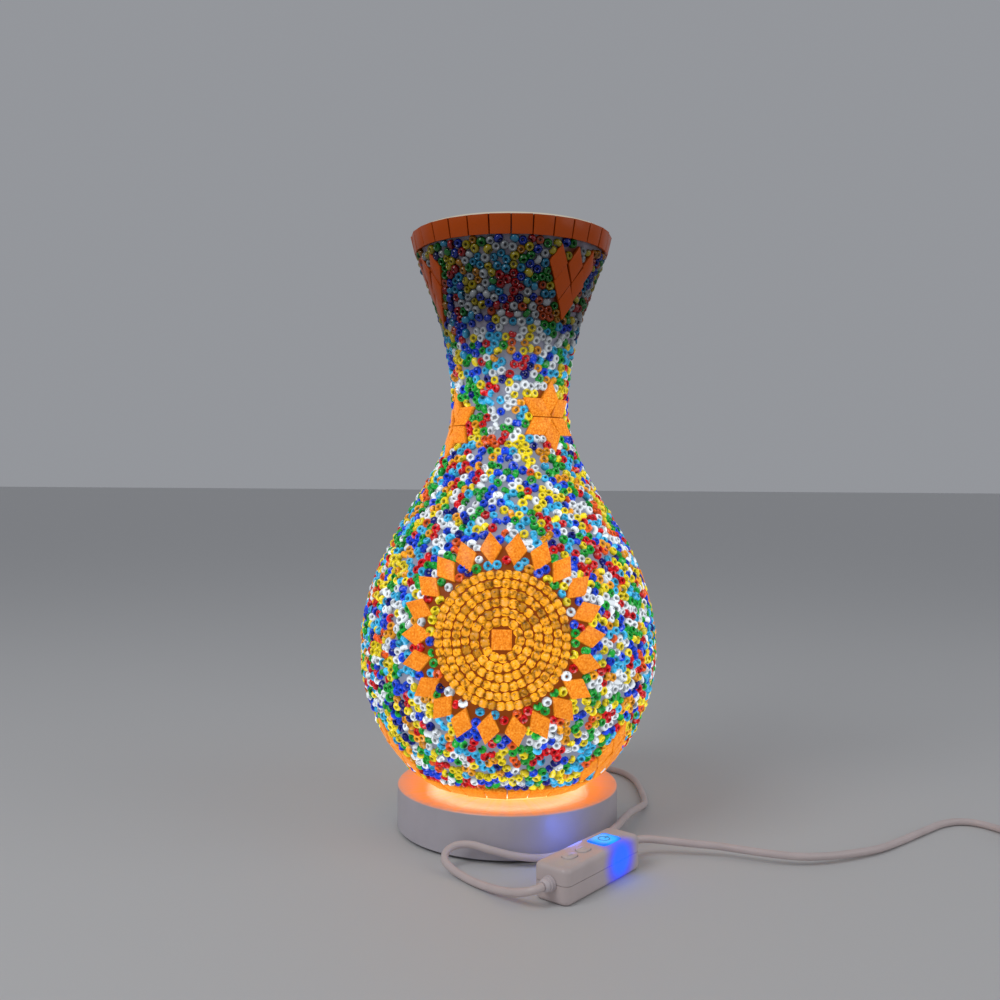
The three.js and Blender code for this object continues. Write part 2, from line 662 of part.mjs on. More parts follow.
function buildCords() {
  place('lamp_lead', tube(lampLeadRoute, 66), cordPlastic);
  place('supply_lead', tube(supplyLeadRoute, 40), cordPlastic);

  const half = coilTurnsWide * cordR;
  const top = coilLift + 2 * half;
  const low = coilMeanR - half;
  const high = coilMeanR + half;
  const ease = cordR * 0.9;
  const coil = turned([
    [high - ease, coilLift], [high, coilLift + ease], [high, top - ease], [high - ease, top],
    [low + ease, top], [low, top - ease], [low, coilLift + ease], [low + ease, coilLift],
    [high - ease, coilLift],
  ], 32);
  place('supply_coil', coil.translate([...coilPlace, 0]), cordPlastic);

  const room = 2 * half + 2 * gap;
  const band = prism(square(room + 2 * tieThick), -tieWidth / 2, tieWidth / 2)
    .subtract(prism(square(room), -tieWidth, tieWidth))
    .rotate([90, 0, 0])
    .translate([coilMeanR, 0, coilLift + half])
    .rotate([0, 0, tieTurn])
    .translate([...coilPlace, 0]);
  place('coil_tie', band, blackRubber);
}

/** Plug beside the coil, pointing along +Y from the end of its tapered tail. */
function buildPlug() {
  const group = new THREE.Group();
  group.position.set(coilPlace[0] + coilMeanR + 2 * cordR, coilPlace[1] + plugAhead, plugThick / 2);
  lamp.add(group);

  const tailEnd = plugTail + 1;
  const tail = turned([[0, 0], [cordR + 0.7, 0], [plugThick / 2 - 0.6, tailEnd], [0, tailEnd]], 16);
  const body = prism(roundedRectangle(plugWidth, plugThick, plugCorner), plugTail, plugTail + plugLength);
  place('plug_overmould', tail.add(body).rotate([-90, 0, 0]), cordPlastic, group);

  const start = plugTail + plugLength + gap;
  const outside = roundedRectangle(shieldWidth, shieldThick, 0.6, 2);
  const shield = prism(outside, start, start + shieldLength)
    .subtract(prism(grown(outside, -shieldWall), start + shieldBack, start + shieldLength + 1));
  place('plug_shield', shield.rotate([-90, 0, 0]), steel, group);

  const inside = shieldThick / 2 - shieldWall - gap;
  const section = roundedRectangle(shieldWidth - 2 * shieldWall - 2 * gap, tongueThick, 0.3, 1);
  const tongue = prism(section, start + shieldBack + gap, start + shieldLength - tongueShort)
    .translate([0, inside - tongueThick / 2, 0]);
  place('plug_tongue', tongue.rotate([-90, 0, 0]), blackRubber, group);
}

buildBase();
buildGland();
buildVase();
buildController();
buildCords();
buildPlug();

export default lamp;
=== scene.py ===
"""Mosaic glass table lamp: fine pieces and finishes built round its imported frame.

Metres, +Z up. The origin is on the table under the middle of the round base, and -Y is the front.
Azimuths run from the front (-Y) towards +X. Distances along the meridian start at the vase's foot.
"""
import json
import logging
import math
from collections.abc import Callable, Iterable, Sequence
from dataclasses import dataclass, field
from enum import Enum

import bpy
import numpy as np
from mathutils import Matrix, Vector

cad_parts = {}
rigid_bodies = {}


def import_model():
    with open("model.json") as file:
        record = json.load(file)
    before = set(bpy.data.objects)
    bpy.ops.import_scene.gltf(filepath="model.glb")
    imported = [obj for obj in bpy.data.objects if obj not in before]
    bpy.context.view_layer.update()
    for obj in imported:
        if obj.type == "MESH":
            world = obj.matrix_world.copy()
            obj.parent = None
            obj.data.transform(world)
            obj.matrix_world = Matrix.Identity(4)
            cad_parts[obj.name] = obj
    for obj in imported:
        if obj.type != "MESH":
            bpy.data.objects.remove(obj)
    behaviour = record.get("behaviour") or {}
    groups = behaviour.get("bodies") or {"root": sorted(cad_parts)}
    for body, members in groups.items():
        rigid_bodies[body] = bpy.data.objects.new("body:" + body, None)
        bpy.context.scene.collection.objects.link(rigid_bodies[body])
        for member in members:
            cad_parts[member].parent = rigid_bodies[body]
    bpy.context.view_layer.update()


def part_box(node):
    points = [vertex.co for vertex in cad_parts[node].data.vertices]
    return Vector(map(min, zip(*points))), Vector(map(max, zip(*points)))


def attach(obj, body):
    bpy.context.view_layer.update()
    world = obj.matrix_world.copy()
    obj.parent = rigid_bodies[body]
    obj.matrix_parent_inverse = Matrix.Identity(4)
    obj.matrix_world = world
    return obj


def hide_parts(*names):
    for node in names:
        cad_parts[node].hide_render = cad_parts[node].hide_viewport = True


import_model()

LOG = logging.getLogger("mosaic_lamp")
MM = 0.001
BEAD_SEED = 20


class Body(Enum):
    """The moving bodies of the frame."""

    BASE = "base"
    VASE = "vase"
    DIM = "dim_button"
    MODE = "mode_button"
    POWER = "power_button"


class BeadColour(Enum):
    """The bead colours, with their share of the mix and their linear colour."""

    WHITE = ("white", 0.17, (0.86, 0.93, 1.0))
    YELLOW = ("yellow", 0.17, (0.95, 0.75, 0.015))
    AMBER = ("amber", 0.07, (0.90, 0.36, 0.012))
    ORANGE = ("orange", 0.04, (0.86, 0.11, 0.012))
    RED = ("red", 0.10, (0.70, 0.006, 0.012))
    GREEN = ("green", 0.15, (0.010, 0.38, 0.040))
    SKY = ("sky", 0.15, (0.045, 0.50, 0.88))
    COBALT = ("cobalt", 0.12, (0.006, 0.060, 0.76))
    NAVY = ("navy", 0.03, (0.004, 0.012, 0.24))

    @property
    def title(self) -> str:
        """Plain word for the colour."""
        return self.value[0]

    @property
    def share(self) -> float:
        """Share of the mix."""
        return self.value[1]

    @property
    def colour(self) -> tuple[float, float, float]:
        """Linear colour of the glass."""
        return self.value[2]


# ---------- modelling tools ----------


def deselect() -> None:
    """Leave nothing selected, so that an operator works on the new piece only."""
    bpy.ops.object.select_all(action="DESELECT")


def activate(obj: bpy.types.Object) -> None:
    """Select one object alone and make it active."""
    deselect()
    obj.select_set(True)
    bpy.context.view_layer.objects.active = obj


def named(name: str) -> bpy.types.Object:
    """Name the object that a primitive operator has just added."""
    obj = bpy.context.object
    obj.name = name
    obj.data.name = name
    return obj


def settle(obj: bpy.types.Object) -> bpy.types.Object:
    """Move an object's place, turn and scale into its mesh."""
    activate(obj)
    bpy.ops.object.transform_apply(location=True, rotation=True, scale=True)
    return obj


def placed(obj: bpy.types.Object, matrix: Matrix) -> bpy.types.Object:
    """Put an object somewhere for good, with its place in its mesh."""
    obj.matrix_world = matrix @ obj.matrix_world
    return settle(obj)


def applied(obj: bpy.types.Object, kind: str, **settings: object) -> bpy.types.Object:
    """Add a modifier with its settings and apply it."""
    activate(obj)
    modifier = obj.modifiers.new(kind.title(), kind)
    for key, value in settings.items():
        setattr(modifier, key, value)
    bpy.ops.object.modifier_apply(modifier=modifier.name)
    return obj


def carved(obj: bpy.types.Object, tools: Iterable[bpy.types.Object]) -> bpy.types.Object:
    """Cut each tool out of an object and remove the tool."""
    for tool in tools:
        applied(obj, "BOOLEAN", object=tool, operation="DIFFERENCE", solver="EXACT")
        bpy.data.objects.remove(tool)
    return obj


def softened(obj: bpy.types.Object, width: float, segments: int = 3, angle: float = 40) -> bpy.types.Object:
    """Round off the edges that are sharper than an angle in degrees."""
    return applied(obj, "BEVEL", width=width, segments=segments, limit_method="ANGLE",
                   angle_limit=math.radians(angle), harden_normals=False)


def smooth(obj: bpy.types.Object, angle: float = 35) -> bpy.types.Object:
    """Shade smooth apart from edges sharper than an angle in degrees."""
    activate(obj)
    bpy.ops.object.shade_smooth_by_angle(angle=math.radians(angle))
    return obj


def turned(name: str, profile: Sequence[tuple[float, float]], steps: int = 96) -> bpy.types.Object:
    """Draw a profile by extruding one vertex and spin it round Z.

    Args:
        name: the object's name.
        profile: (radius, height) points that start and end on the axis or close on themselves.
        steps: facets round the axis.

    Returns:
        A closed solid of revolution.
    """
    deselect()
    bpy.ops.mesh.primitive_plane_add(size=MM)
    obj = named(name)
    bpy.ops.object.mode_set(mode="EDIT")
    bpy.ops.mesh.merge(type="CENTER")
    here = Vector((profile[0][0], 0, profile[0][1]))
    bpy.ops.transform.translate(value=here)
    for radius, height in profile[1:]:
        there = Vector((radius, 0, height))
        bpy.ops.mesh.extrude_region_move(TRANSFORM_OT_translate={"value": there - here})
        here = there
    bpy.ops.mesh.select_all(action="SELECT")
    bpy.ops.mesh.spin(steps=steps, angle=2 * math.pi, center=(0, 0, 0), axis=(0, 0, 1))
    bpy.ops.mesh.select_all(action="SELECT")
    bpy.ops.mesh.remove_doubles(threshold=0.002 * MM)
    bpy.ops.mesh.normals_make_consistent(inside=False)
    bpy.ops.object.mode_set(mode="OBJECT")
    return smooth(obj)


def slab(name: str, outline: Sequence[tuple[float, float]], top: float, thickness: float) -> bpy.types.Object:
    """Fill an outline of (x, y) at a height and extrude it downwards.

    Args:
        name: the object's name.
        outline: corners, anticlockwise.
        top: height of the upper face.
        thickness: how far down it goes.

    Returns:
        A closed prism.
    """
    deselect()
    bpy.ops.mesh.primitive_circle_add(vertices=len(outline), radius=MM, fill_type="NGON")
    obj = named(name)
    order = obj.data.polygons[0].vertices
    for vertex, (x, y) in zip(order, outline):
        obj.data.vertices[vertex].co = (x, y, top)
    bpy.ops.object.mode_set(mode="EDIT")
    bpy.ops.mesh.select_all(action="SELECT")
    bpy.ops.mesh.extrude_region_move(TRANSFORM_OT_translate={"value": (0, 0, -thickness)})
    bpy.ops.mesh.select_all(action="SELECT")
    bpy.ops.mesh.normals_make_consistent(inside=False)
    bpy.ops.object.mode_set(mode="OBJECT")
    return obj


def stadium(length: float, width: float, corner: float, steps: int = 8) -> list[tuple[float, float]]:
    """Outline of a rectangle with round corners, centred on the origin."""
    outline = []
    for sx, sy, start in ((1, 1, 0), (-1, 1, 90), (-1, -1, 180), (1, -1, 270)):
        for i in range(steps + 1):
            turn = math.radians(start + 90 * i / steps)
            outline.append((sx * (length / 2 - corner) + corner * math.cos(turn),
                            sy * (width / 2 - corner) + corner * math.sin(turn)))
    return outline


@dataclass
class Stamp:
    """One modelled shape, kept as arrays so that it can be copied many times.

    Attributes:
        points: corners.
        loops: corner numbers, face after face.
        sizes: corners of each face.
        shine: painted light and shade of each corner, as when the glass is lit.
    """

    points: np.ndarray
    loops: np.ndarray
    sizes: np.ndarray
    shine: np.ndarray

    @classmethod
    def of(cls, obj: bpy.types.Object, shine: Callable[[np.ndarray], np.ndarray]) -> "Stamp":
        """Take an object's mesh as a stamp and remove the object.

        Args:
            obj: the modelled object.
            shine: gives each corner's painted brightness from the corners' places.

        Returns:
            The stamp.
        """
        mesh = obj.data
        points = np.zeros(3 * len(mesh.vertices))
        mesh.vertices.foreach_get("co", points)
        points = points.reshape(-1, 3)
        loops = np.zeros(len(mesh.loops), np.int32)
        mesh.loops.foreach_get("vertex_index", loops)
        sizes = np.zeros(len(mesh.polygons), np.int32)
        mesh.polygons.foreach_get("loop_total", sizes)
        bpy.data.objects.remove(obj)
        return cls(points, loops, sizes, shine(points))


@dataclass
class Copies:
    """Copies of stamps gathered into one mesh."""

    points: list[np.ndarray] = field(default_factory=list)
    loops: list[np.ndarray] = field(default_factory=list)
    sizes: list[np.ndarray] = field(default_factory=list)
    shine: list[np.ndarray] = field(default_factory=list)
    tone: list[np.ndarray] = field(default_factory=list)
    count: int = 0

    def add(self, stamp: Stamp, turns: np.ndarray, places: np.ndarray, tones: np.ndarray) -> None:
        """Add a copy of a stamp at each place.

        Args:
            stamp: what is copied.
            turns: (n, 3, 3) axes, one column per axis, scaled where a copy is larger.
            places: (n, 3) origins.
            tones: (n,) brightness of each copy.
        """
        points = np.einsum("nij,kj->nki", turns, stamp.points) + places[:, None, :]
        n, k = len(places), len(stamp.points)
        starts = self.count + k * np.arange(n)[:, None]
        self.points.append(points.reshape(-1, 3))
        self.loops.append((stamp.loops[None, :] + starts).ravel())
        self.sizes.append(np.tile(stamp.sizes, n))
        self.shine.append(np.tile(stamp.shine, n))
        self.tone.append(np.repeat(tones, k))
        self.count += n * k

    def made(self, name: str, angle: float) -> bpy.types.Object:
        """Make the gathered copies one object, shaded smooth below an angle in degrees."""
        points, loops, sizes = (np.concatenate(part) for part in (self.points, self.loops, self.sizes))
        mesh = bpy.data.meshes.new(name)
        mesh.vertices.add(len(points))
        mesh.vertices.foreach_set("co", points.ravel())
        mesh.loops.add(len(loops))
        mesh.loops.foreach_set("vertex_index", loops)
        mesh.polygons.add(len(sizes))
        mesh.polygons.foreach_set("loop_start", np.concatenate([[0], np.cumsum(sizes)[:-1]]))
        mesh.update(calc_edges=True)
        for title, values in (("shine", self.shine), ("tone", self.tone)):
            attribute = mesh.attributes.new(title, "FLOAT", "POINT")
            attribute.data.foreach_set("value", np.concatenate(values).astype(np.float32))
        obj = bpy.data.objects.new(name, mesh)
        bpy.context.scene.collection.objects.link(obj)
        return smooth(obj, angle)


# ---------- finishes ----------


class Graph:
    """A node tree with short ways to add and join nodes."""

    def __init__(self, tree: bpy.types.NodeTree) -> None:
        """Work on a tree."""
        self.tree = tree

    def add(self, kind: str, **settings: object) -> bpy.types.Node:
        """Add a node of a kind, with attributes set."""
        node = self.tree.nodes.new(kind)
        for key, value in settings.items():
            setattr(node, key, value)
        return node

    def join(self, source: bpy.types.NodeSocket, target: bpy.types.NodeSocket | float) -> None:
        """Link one socket to another."""
        self.tree.links.new(source, target)

    def math(self, operation: str, a: object, b: object = 0.0, clamp: bool = False) -> bpy.types.NodeSocket:
        """Add a Math node on two sockets or numbers and return its output."""
        node = self.add("ShaderNodeMath", operation=operation, use_clamp=clamp)
        for i, value in enumerate((a, b)):
            if isinstance(value, bpy.types.NodeSocket):
                self.join(value, node.inputs[i])
            else:
                node.inputs[i].default_value = value
        return node.outputs[0]

    def ramp(self, value: bpy.types.NodeSocket, low: float, high: float) -> bpy.types.NodeSocket:
        """Smooth step of a value from 0 at low to 1 at high."""
        node = self.add("ShaderNodeMapRange", interpolation_type="SMOOTHSTEP", clamp=True)
        self.join(value, node.inputs["Value"])
        node.inputs["From Min"].default_value = low
        node.inputs["From Max"].default_value = high
        return node.outputs["Result"]

    def mix(self, factor: object, a: object, b: object, blend: str = "MIX") -> bpy.types.NodeSocket:
        """Mix two colours, each a socket or a tuple."""
        node = self.add("ShaderNodeMix", data_type="RGBA", blend_type=blend)
        for socket, value in ((node.inputs[0], factor), (node.inputs[6], a), (node.inputs[7], b)):
            if isinstance(value, bpy.types.NodeSocket):
                self.join(value, socket)
            elif isinstance(value, tuple):
                socket.default_value = (*value, 1.0)
            else:
                socket.default_value = value
        return node.outputs[2]

    def place(self) -> bpy.types.NodeSocket:
        """Object coordinates."""
        return self.add("ShaderNodeTexCoord").outputs["Object"]

    def own(self, name: str) -> bpy.types.NodeSocket:
        """The piece's own attribute of a name, as a number."""
        return self.add("ShaderNodeAttribute", attribute_name=name).outputs["Fac"]


def effect(name: str, inputs: Sequence[tuple], outputs: Sequence[tuple]) -> tuple[Graph, object, object]:
    """Start a shared node group.

    Args:
        name: the group's name.
        inputs: (name, socket kind, default) of each input.
        outputs: (name, socket kind) of each output.

    Returns:
        The group's graph, its input node and its output node.
    """
    tree = bpy.data.node_groups.new(name, "ShaderNodeTree")
    for title, kind, default in inputs:
        socket = tree.interface.new_socket(name=title, in_out="INPUT", socket_type=f"NodeSocket{kind}")
        socket.default_value = default
    for title, kind in outputs:
        tree.interface.new_socket(name=title, in_out="OUTPUT", socket_type=f"NodeSocket{kind}")
    graph = Graph(tree)
    return graph, graph.add("NodeGroupInput"), graph.add("NodeGroupOutput")


def lamplight_group() -> bpy.types.NodeTree:
    """Painted glow: emission that stands in for the light reaching a piece of glass from inside the vase,
    strong below and gone above the neck.
    """
    graph, given, result = effect(
        "Lamplight",
        [("Colour", "Color", (1, 1, 1, 1)), ("Shine", "Float", 1.0), ("Tone", "Float", 1.0),
         ("Dark From", "Float", 0.231), ("Lit Below", "Float", 0.190)],
        [("Light", "Color"), ("Mask", "Float")])
    split = graph.add("ShaderNodeSeparateXYZ")
    graph.join(graph.place(), split.inputs[0])
    height = graph.add("ShaderNodeMapRange", interpolation_type="SMOOTHSTEP", clamp=True)
    graph.join(split.outputs["Z"], height.inputs["Value"])
    graph.join(given.outputs["Dark From"], height.inputs["From Min"])
    graph.join(given.outputs["Lit Below"], height.inputs["From Max"])
    # painted glow mask: height ramp times the painted shine of each corner and the tone of each copy
    mask = graph.math("MULTIPLY", height.outputs["Result"], given.outputs["Shine"])
    mask = graph.math("MULTIPLY", mask, given.outputs["Tone"])
    graph.join(graph.mix(mask, (0.0, 0.0, 0.0), given.outputs["Colour"]), result.inputs["Light"])
    graph.join(mask, result.inputs["Mask"])
    return graph.tree


def speckle_group() -> bpy.types.NodeTree:
    """Streaks and specks of hand-rolled glass."""
    graph, given, result = effect(
        "Rolled glass",
        [("Colour", "Color", (1, 1, 1, 1)), ("Dark", "Color", (0, 0, 0, 1)), ("Light", "Color", (1, 1, 1, 1)),
         ("Scale", "Float", 1400.0)],
        [("Colour", "Color"), ("Height", "Float")])
    fine = graph.add("ShaderNodeTexNoise")
    graph.join(graph.place(), fine.inputs["Vector"])
    graph.join(given.outputs["Scale"], fine.inputs["Scale"])
    fine.inputs["Detail"].default_value = 3.0
    coarse = graph.add("ShaderNodeTexNoise")
    graph.join(graph.place(), coarse.inputs["Vector"])
    graph.join(graph.math("MULTIPLY", given.outputs["Scale"], 0.22), coarse.inputs["Scale"])
    dark = graph.ramp(fine.outputs["Fac"], 0.52, 0.61)
    light = graph.ramp(fine.outputs["Fac"], 0.46, 0.36)
    cloud = graph.ramp(coarse.outputs["Fac"], 0.35, 0.75)
    colour = graph.mix(graph.math("MULTIPLY", dark, 0.5), given.outputs["Colour"], given.outputs["Dark"])
    colour = graph.mix(graph.math("MULTIPLY", light, 0.6), colour, given.outputs["Light"])
    colour = graph.mix(graph.math("MULTIPLY", cloud, 0.25), colour, given.outputs["Dark"])
    graph.join(colour, result.inputs["Colour"])
    graph.join(fine.outputs["Fac"], result.inputs["Height"])
    return graph.tree


def glints_group() -> bpy.types.NodeTree:
    """Painted bright and dark patches of a lit bead, standing in for its thick and thin glass bending the
    light.
    """
    graph, given, result = effect(
        "Glints",
        [("Colour", "Color", (1, 1, 1, 1)), ("Pale", "Color", (1, 1, 1, 1)), ("Scale", "Float", 620.0)],
        [("Colour", "Color")])
    cloud = graph.add("ShaderNodeTexNoise")
    graph.join(graph.place(), cloud.inputs["Vector"])
    graph.join(given.outputs["Scale"], cloud.inputs["Scale"])
    cloud.inputs["Detail"].default_value = 1.5
    # painted shade in the dark patches and painted highlights in the pale ones
    dark = graph.math("MULTIPLY", graph.ramp(cloud.outputs["Fac"], 0.50, 0.34), 0.62)
    light = graph.math("MULTIPLY", graph.ramp(cloud.outputs["Fac"], 0.56, 0.70), 0.50)
    colour = graph.mix(dark, given.outputs["Colour"], (0.0, 0.0, 0.0))
    graph.join(graph.mix(light, colour, given.outputs["Pale"]), result.inputs["Colour"])
    return graph.tree


def mottle_group() -> bpy.types.NodeTree:
    """Slight unevenness of colour and surface of moulded or pressed pieces."""
    graph, given, result = effect(
        "Mottle",
        [("Colour", "Color", (1, 1, 1, 1)), ("Other", "Color", (1, 1, 1, 1)), ("Roughness", "Float", 0.4),
         ("Scale", "Float", 90.0)],
        [("Colour", "Color"), ("Roughness", "Float"), ("Height", "Float")])
    cloud = graph.add("ShaderNodeTexNoise")
    graph.join(graph.place(), cloud.inputs["Vector"])
    graph.join(given.outputs["Scale"], cloud.inputs["Scale"])
    cloud.inputs["Detail"].default_value = 4.0
    grain = graph.add("ShaderNodeTexNoise")
    graph.join(graph.place(), grain.inputs["Vector"])
    graph.join(graph.math("MULTIPLY", given.outputs["Scale"], 35.0), grain.inputs["Scale"])
    amount = graph.ramp(cloud.outputs["Fac"], 0.3, 0.75)
    graph.join(graph.mix(amount, given.outputs["Colour"], given.outputs["Other"]), result.inputs["Colour"])
    uneven = graph.math("MULTIPLY", graph.math("SUBTRACT", cloud.outputs["Fac"], 0.5), 0.16)
    graph.join(graph.math("ADD", given.outputs["Roughness"], uneven, clamp=True), result.inputs["Roughness"])
    graph.join(grain.outputs["Fac"], result.inputs["Height"])
    return graph.tree


def started(name: str) -> tuple[bpy.types.Material, Graph, bpy.types.Node]:
    """Start a material and return it with its graph and its shader."""
    material = bpy.data.materials.new(name)
    material.use_nodes = True
    return material, Graph(material.node_tree), material.node_tree.nodes["Principled BSDF"]


def placed_group(graph: Graph, tree: bpy.types.NodeTree, **values: object) -> bpy.types.Node:
    """Put a shared group into a material with its own values."""
    node = graph.add("ShaderNodeGroup", node_tree=tree)
    for key, value in values.items():
        title = key.replace("_", " ").title()
        node.inputs[title].default_value = (*value, 1.0) if isinstance(value, tuple) else value
    return node


def bumped(graph: Graph, shader: bpy.types.Node, height: bpy.types.NodeSocket, distance: float,
           strength: float = 0.4) -> None:
    """Feed a height to a shader's normal."""
    bump = graph.add("ShaderNodeBump")
    bump.inputs["Strength"].default_value = strength
    bump.inputs["Distance"].default_value = distance
    graph.join(height, bump.inputs["Height"])
    graph.join(bump.outputs["Normal"], shader.inputs["Normal"])


class Effects:
    """The shared node groups, each built once."""

    def __init__(self) -> None:
        """Build the groups."""
        self.lamplight = lamplight_group()
        self.glints = glints_group()
        self.speckle = speckle_group()
        self.mottle = mottle_group()


@dataclass(frozen=True)
class MouldedFinish:
    """Plain moulded, pressed or plated surface.

    Attributes:
        name: the material's name.
        colour: linear colour.
        other: colour of its faint clouds.
        roughness: mean roughness.
        metallic: 1 for a metal.
        grain: depth of the fine surface grain.
        coat: weight of a clear coat.
        scale: clouds per metre.
    """

    name: str
    colour: tuple[float, float, float]
    other: tuple[float, float, float]
    roughness: float = 0.4
    metallic: float = 0.0
    grain: float = 0.02 * MM
    coat: float = 0.0
    scale: float = 90.0

    def made(self, effects: Effects) -> bpy.types.Material:
        """Build the material."""
        material, graph, shader = started(self.name)
        mottle = placed_group(graph, effects.mottle, colour=self.colour, other=self.other,
                              roughness=self.roughness, scale=self.scale)
        graph.join(mottle.outputs["Colour"], shader.inputs["Base Color"])
        graph.join(mottle.outputs["Roughness"], shader.inputs["Roughness"])
        shader.inputs["Metallic"].default_value = self.metallic
        shader.inputs["Coat Weight"].default_value = self.coat
        bumped(graph, shader, mottle.outputs["Height"], self.grain)
        return material


@dataclass(frozen=True)
class BeadFinish:
    """Coloured glass bead with a painted glow where the lamp reaches it from behind, with painted glints and
    painted shade.

    Attributes:
        name: the material's name.
        colour: linear colour of the lit glass.
        strength: how bright the lit glass is.
        unlit: share of the colour that the unlit glass shows.
        paler: how far its painted glints go towards white.
    """

    name: str
    colour: tuple[float, float, float]
    strength: float = 1.12
    unlit: float = 0.27
    paler: float = 0.45

    def made(self, effects: Effects) -> bpy.types.Material:
        """Build the material."""
        material, graph, shader = started(self.name)
        light = placed_group(graph, effects.lamplight)
        pale = tuple(part + self.paler * (1.0 - part) for part in self.colour)
        glints = placed_group(graph, effects.glints, colour=self.colour, pale=pale)
        graph.join(glints.outputs["Colour"], light.inputs["Colour"])
        graph.join(graph.own("shine"), light.inputs["Shine"])
        graph.join(graph.own("tone"), light.inputs["Tone"])
        graph.join(light.outputs["Light"], shader.inputs["Emission Color"])
        shader.inputs["Emission Strength"].default_value = self.strength
        # painted shade: the base colour darkens from shade to deep where the shine is low
        shade = tuple(self.unlit * part for part in self.colour)
        deep = tuple(0.25 * self.unlit * part for part in self.colour)
        graph.join(graph.mix(graph.own("shine"), deep, shade), shader.inputs["Base Color"])
        shader.inputs["Roughness"].default_value = 0.14
        shader.inputs["Specular IOR Level"].default_value = 0.4
        return material


@dataclass(frozen=True)
class TileFinish:
    """Streaky orange cut glass, with a painted glow where the lamp reaches it and painted shade down its
    sides.

    Attributes:
        name: the material's name.
        colour: linear colour of the lit glass.
        dark: colour of its streaks.
        light: colour of its bright specks.
        strength: how bright the lit glass is.
        unlit: colour of the glass away from the lamp.
    """

    name: str
    colour: tuple[float, float, float] = (0.86, 0.285, 0.016)
    dark: tuple[float, float, float] = (0.36, 0.075, 0.002)
    light: tuple[float, float, float] = (1.0, 0.50, 0.075)
    strength: float = 1.05
    unlit: tuple[float, float, float] = (0.44, 0.062, 0.001)

    def made(self, effects: Effects) -> bpy.types.Material:
        """Build the material."""
        material, graph, shader = started(self.name)
        speckle = placed_group(graph, effects.speckle, colour=self.colour, dark=self.dark, light=self.light)
        light = placed_group(graph, effects.lamplight)
        graph.join(speckle.outputs["Colour"], light.inputs["Colour"])
        graph.join(graph.own("shine"), light.inputs["Shine"])
        graph.join(graph.own("tone"), light.inputs["Tone"])
        graph.join(light.outputs["Light"], shader.inputs["Emission Color"])
        shader.inputs["Emission Strength"].default_value = self.strength
        # painted shade: the base colour darkens towards deep on the tile's sides, where the shine is low
        deep = tuple(0.4 * part for part in self.unlit)
        graph.join(graph.mix(graph.own("shine"), deep, self.unlit), shader.inputs["Base Color"])
        shader.inputs["Roughness"].default_value = 0.30
        shader.inputs["Specular IOR Level"].default_value = 0.22
        bumped(graph, shader, speckle.outputs["Height"], 0.05 * MM, 0.25)
        return material


@dataclass(frozen=True)
class AdhesiveFinish:
    """Adhesive between the beads: pale and clouded, brown where it backs a sun, with a painted glow where the
    lamp reaches it.
    """

    name: str = "mosaic adhesive"
    pale: tuple[float, float, float] = (0.25, 0.22, 0.27)
    lit: tuple[float, float, float] = (0.17, 0.20, 0.27)
    brown: tuple[float, float, float] = (0.20, 0.040, 0.002)
    deep: tuple[float, float, float] = (0.10, 0.015, 0.001)

    def made(self, effects: Effects) -> bpy.types.Material:
        """Build the material."""
        material, graph, shader = started(self.name)
        mottle = placed_group(graph, effects.mottle, colour=self.pale, other=(0.13, 0.12, 0.15),
                              roughness=0.45, scale=260.0)
        sun = graph.own("shine")
        # painted glow: emission of the lit or brown colour, fading above the neck
        light = placed_group(graph, effects.lamplight)
        graph.join(graph.mix(sun, self.lit, self.brown), light.inputs["Colour"])
        graph.join(light.outputs["Light"], shader.inputs["Emission Color"])
        shader.inputs["Emission Strength"].default_value = 0.9
        graph.join(graph.mix(sun, mottle.outputs["Colour"], self.deep), shader.inputs["Base Color"])
        shader.inputs["Specular IOR Level"].default_value = 0.25
        graph.join(mottle.outputs["Roughness"], shader.inputs["Roughness"])
        bumped(graph, shader, mottle.outputs["Height"], 0.1 * MM)
        return material


@dataclass(frozen=True)
class VaseGlassFinish:
    """Clear blown glass with a painted glow at the foot, where it stands on the light, and a faint painted
    highlight on the lip.
    """

    name: str = "blown glass"

    def made(self) -> bpy.types.Material:
        """Build the material."""
        material, graph, shader = started(self.name)
        shader.inputs["Base Color"].default_value = (0.93, 0.96, 0.93, 1)
        shader.inputs["Roughness"].default_value = 0.04
        shader.inputs["Transmission Weight"].default_value = 1.0
        shader.inputs["IOR"].default_value = 1.5
        split = graph.add("ShaderNodeSeparateXYZ")
        graph.join(graph.place(), split.inputs[0])
        # painted glow at the foot and a faint painted highlight along the lip
        foot = graph.math("MULTIPLY", graph.ramp(split.outputs["Z"], 0.0236, 0.0224), 0.45)
        lip = graph.math("MULTIPLY", graph.ramp(split.outputs["Z"], 0.2668, 0.2674), 0.10)
        glow = graph.math("ADD", foot, lip, clamp=True)
        graph.join(graph.mix(glow, (0.0, 0.0, 0.0), (1.0, 0.90, 0.74)), shader.inputs["Emission Color"])
        shader.inputs["Emission Strength"].default_value = 2.6
        return material


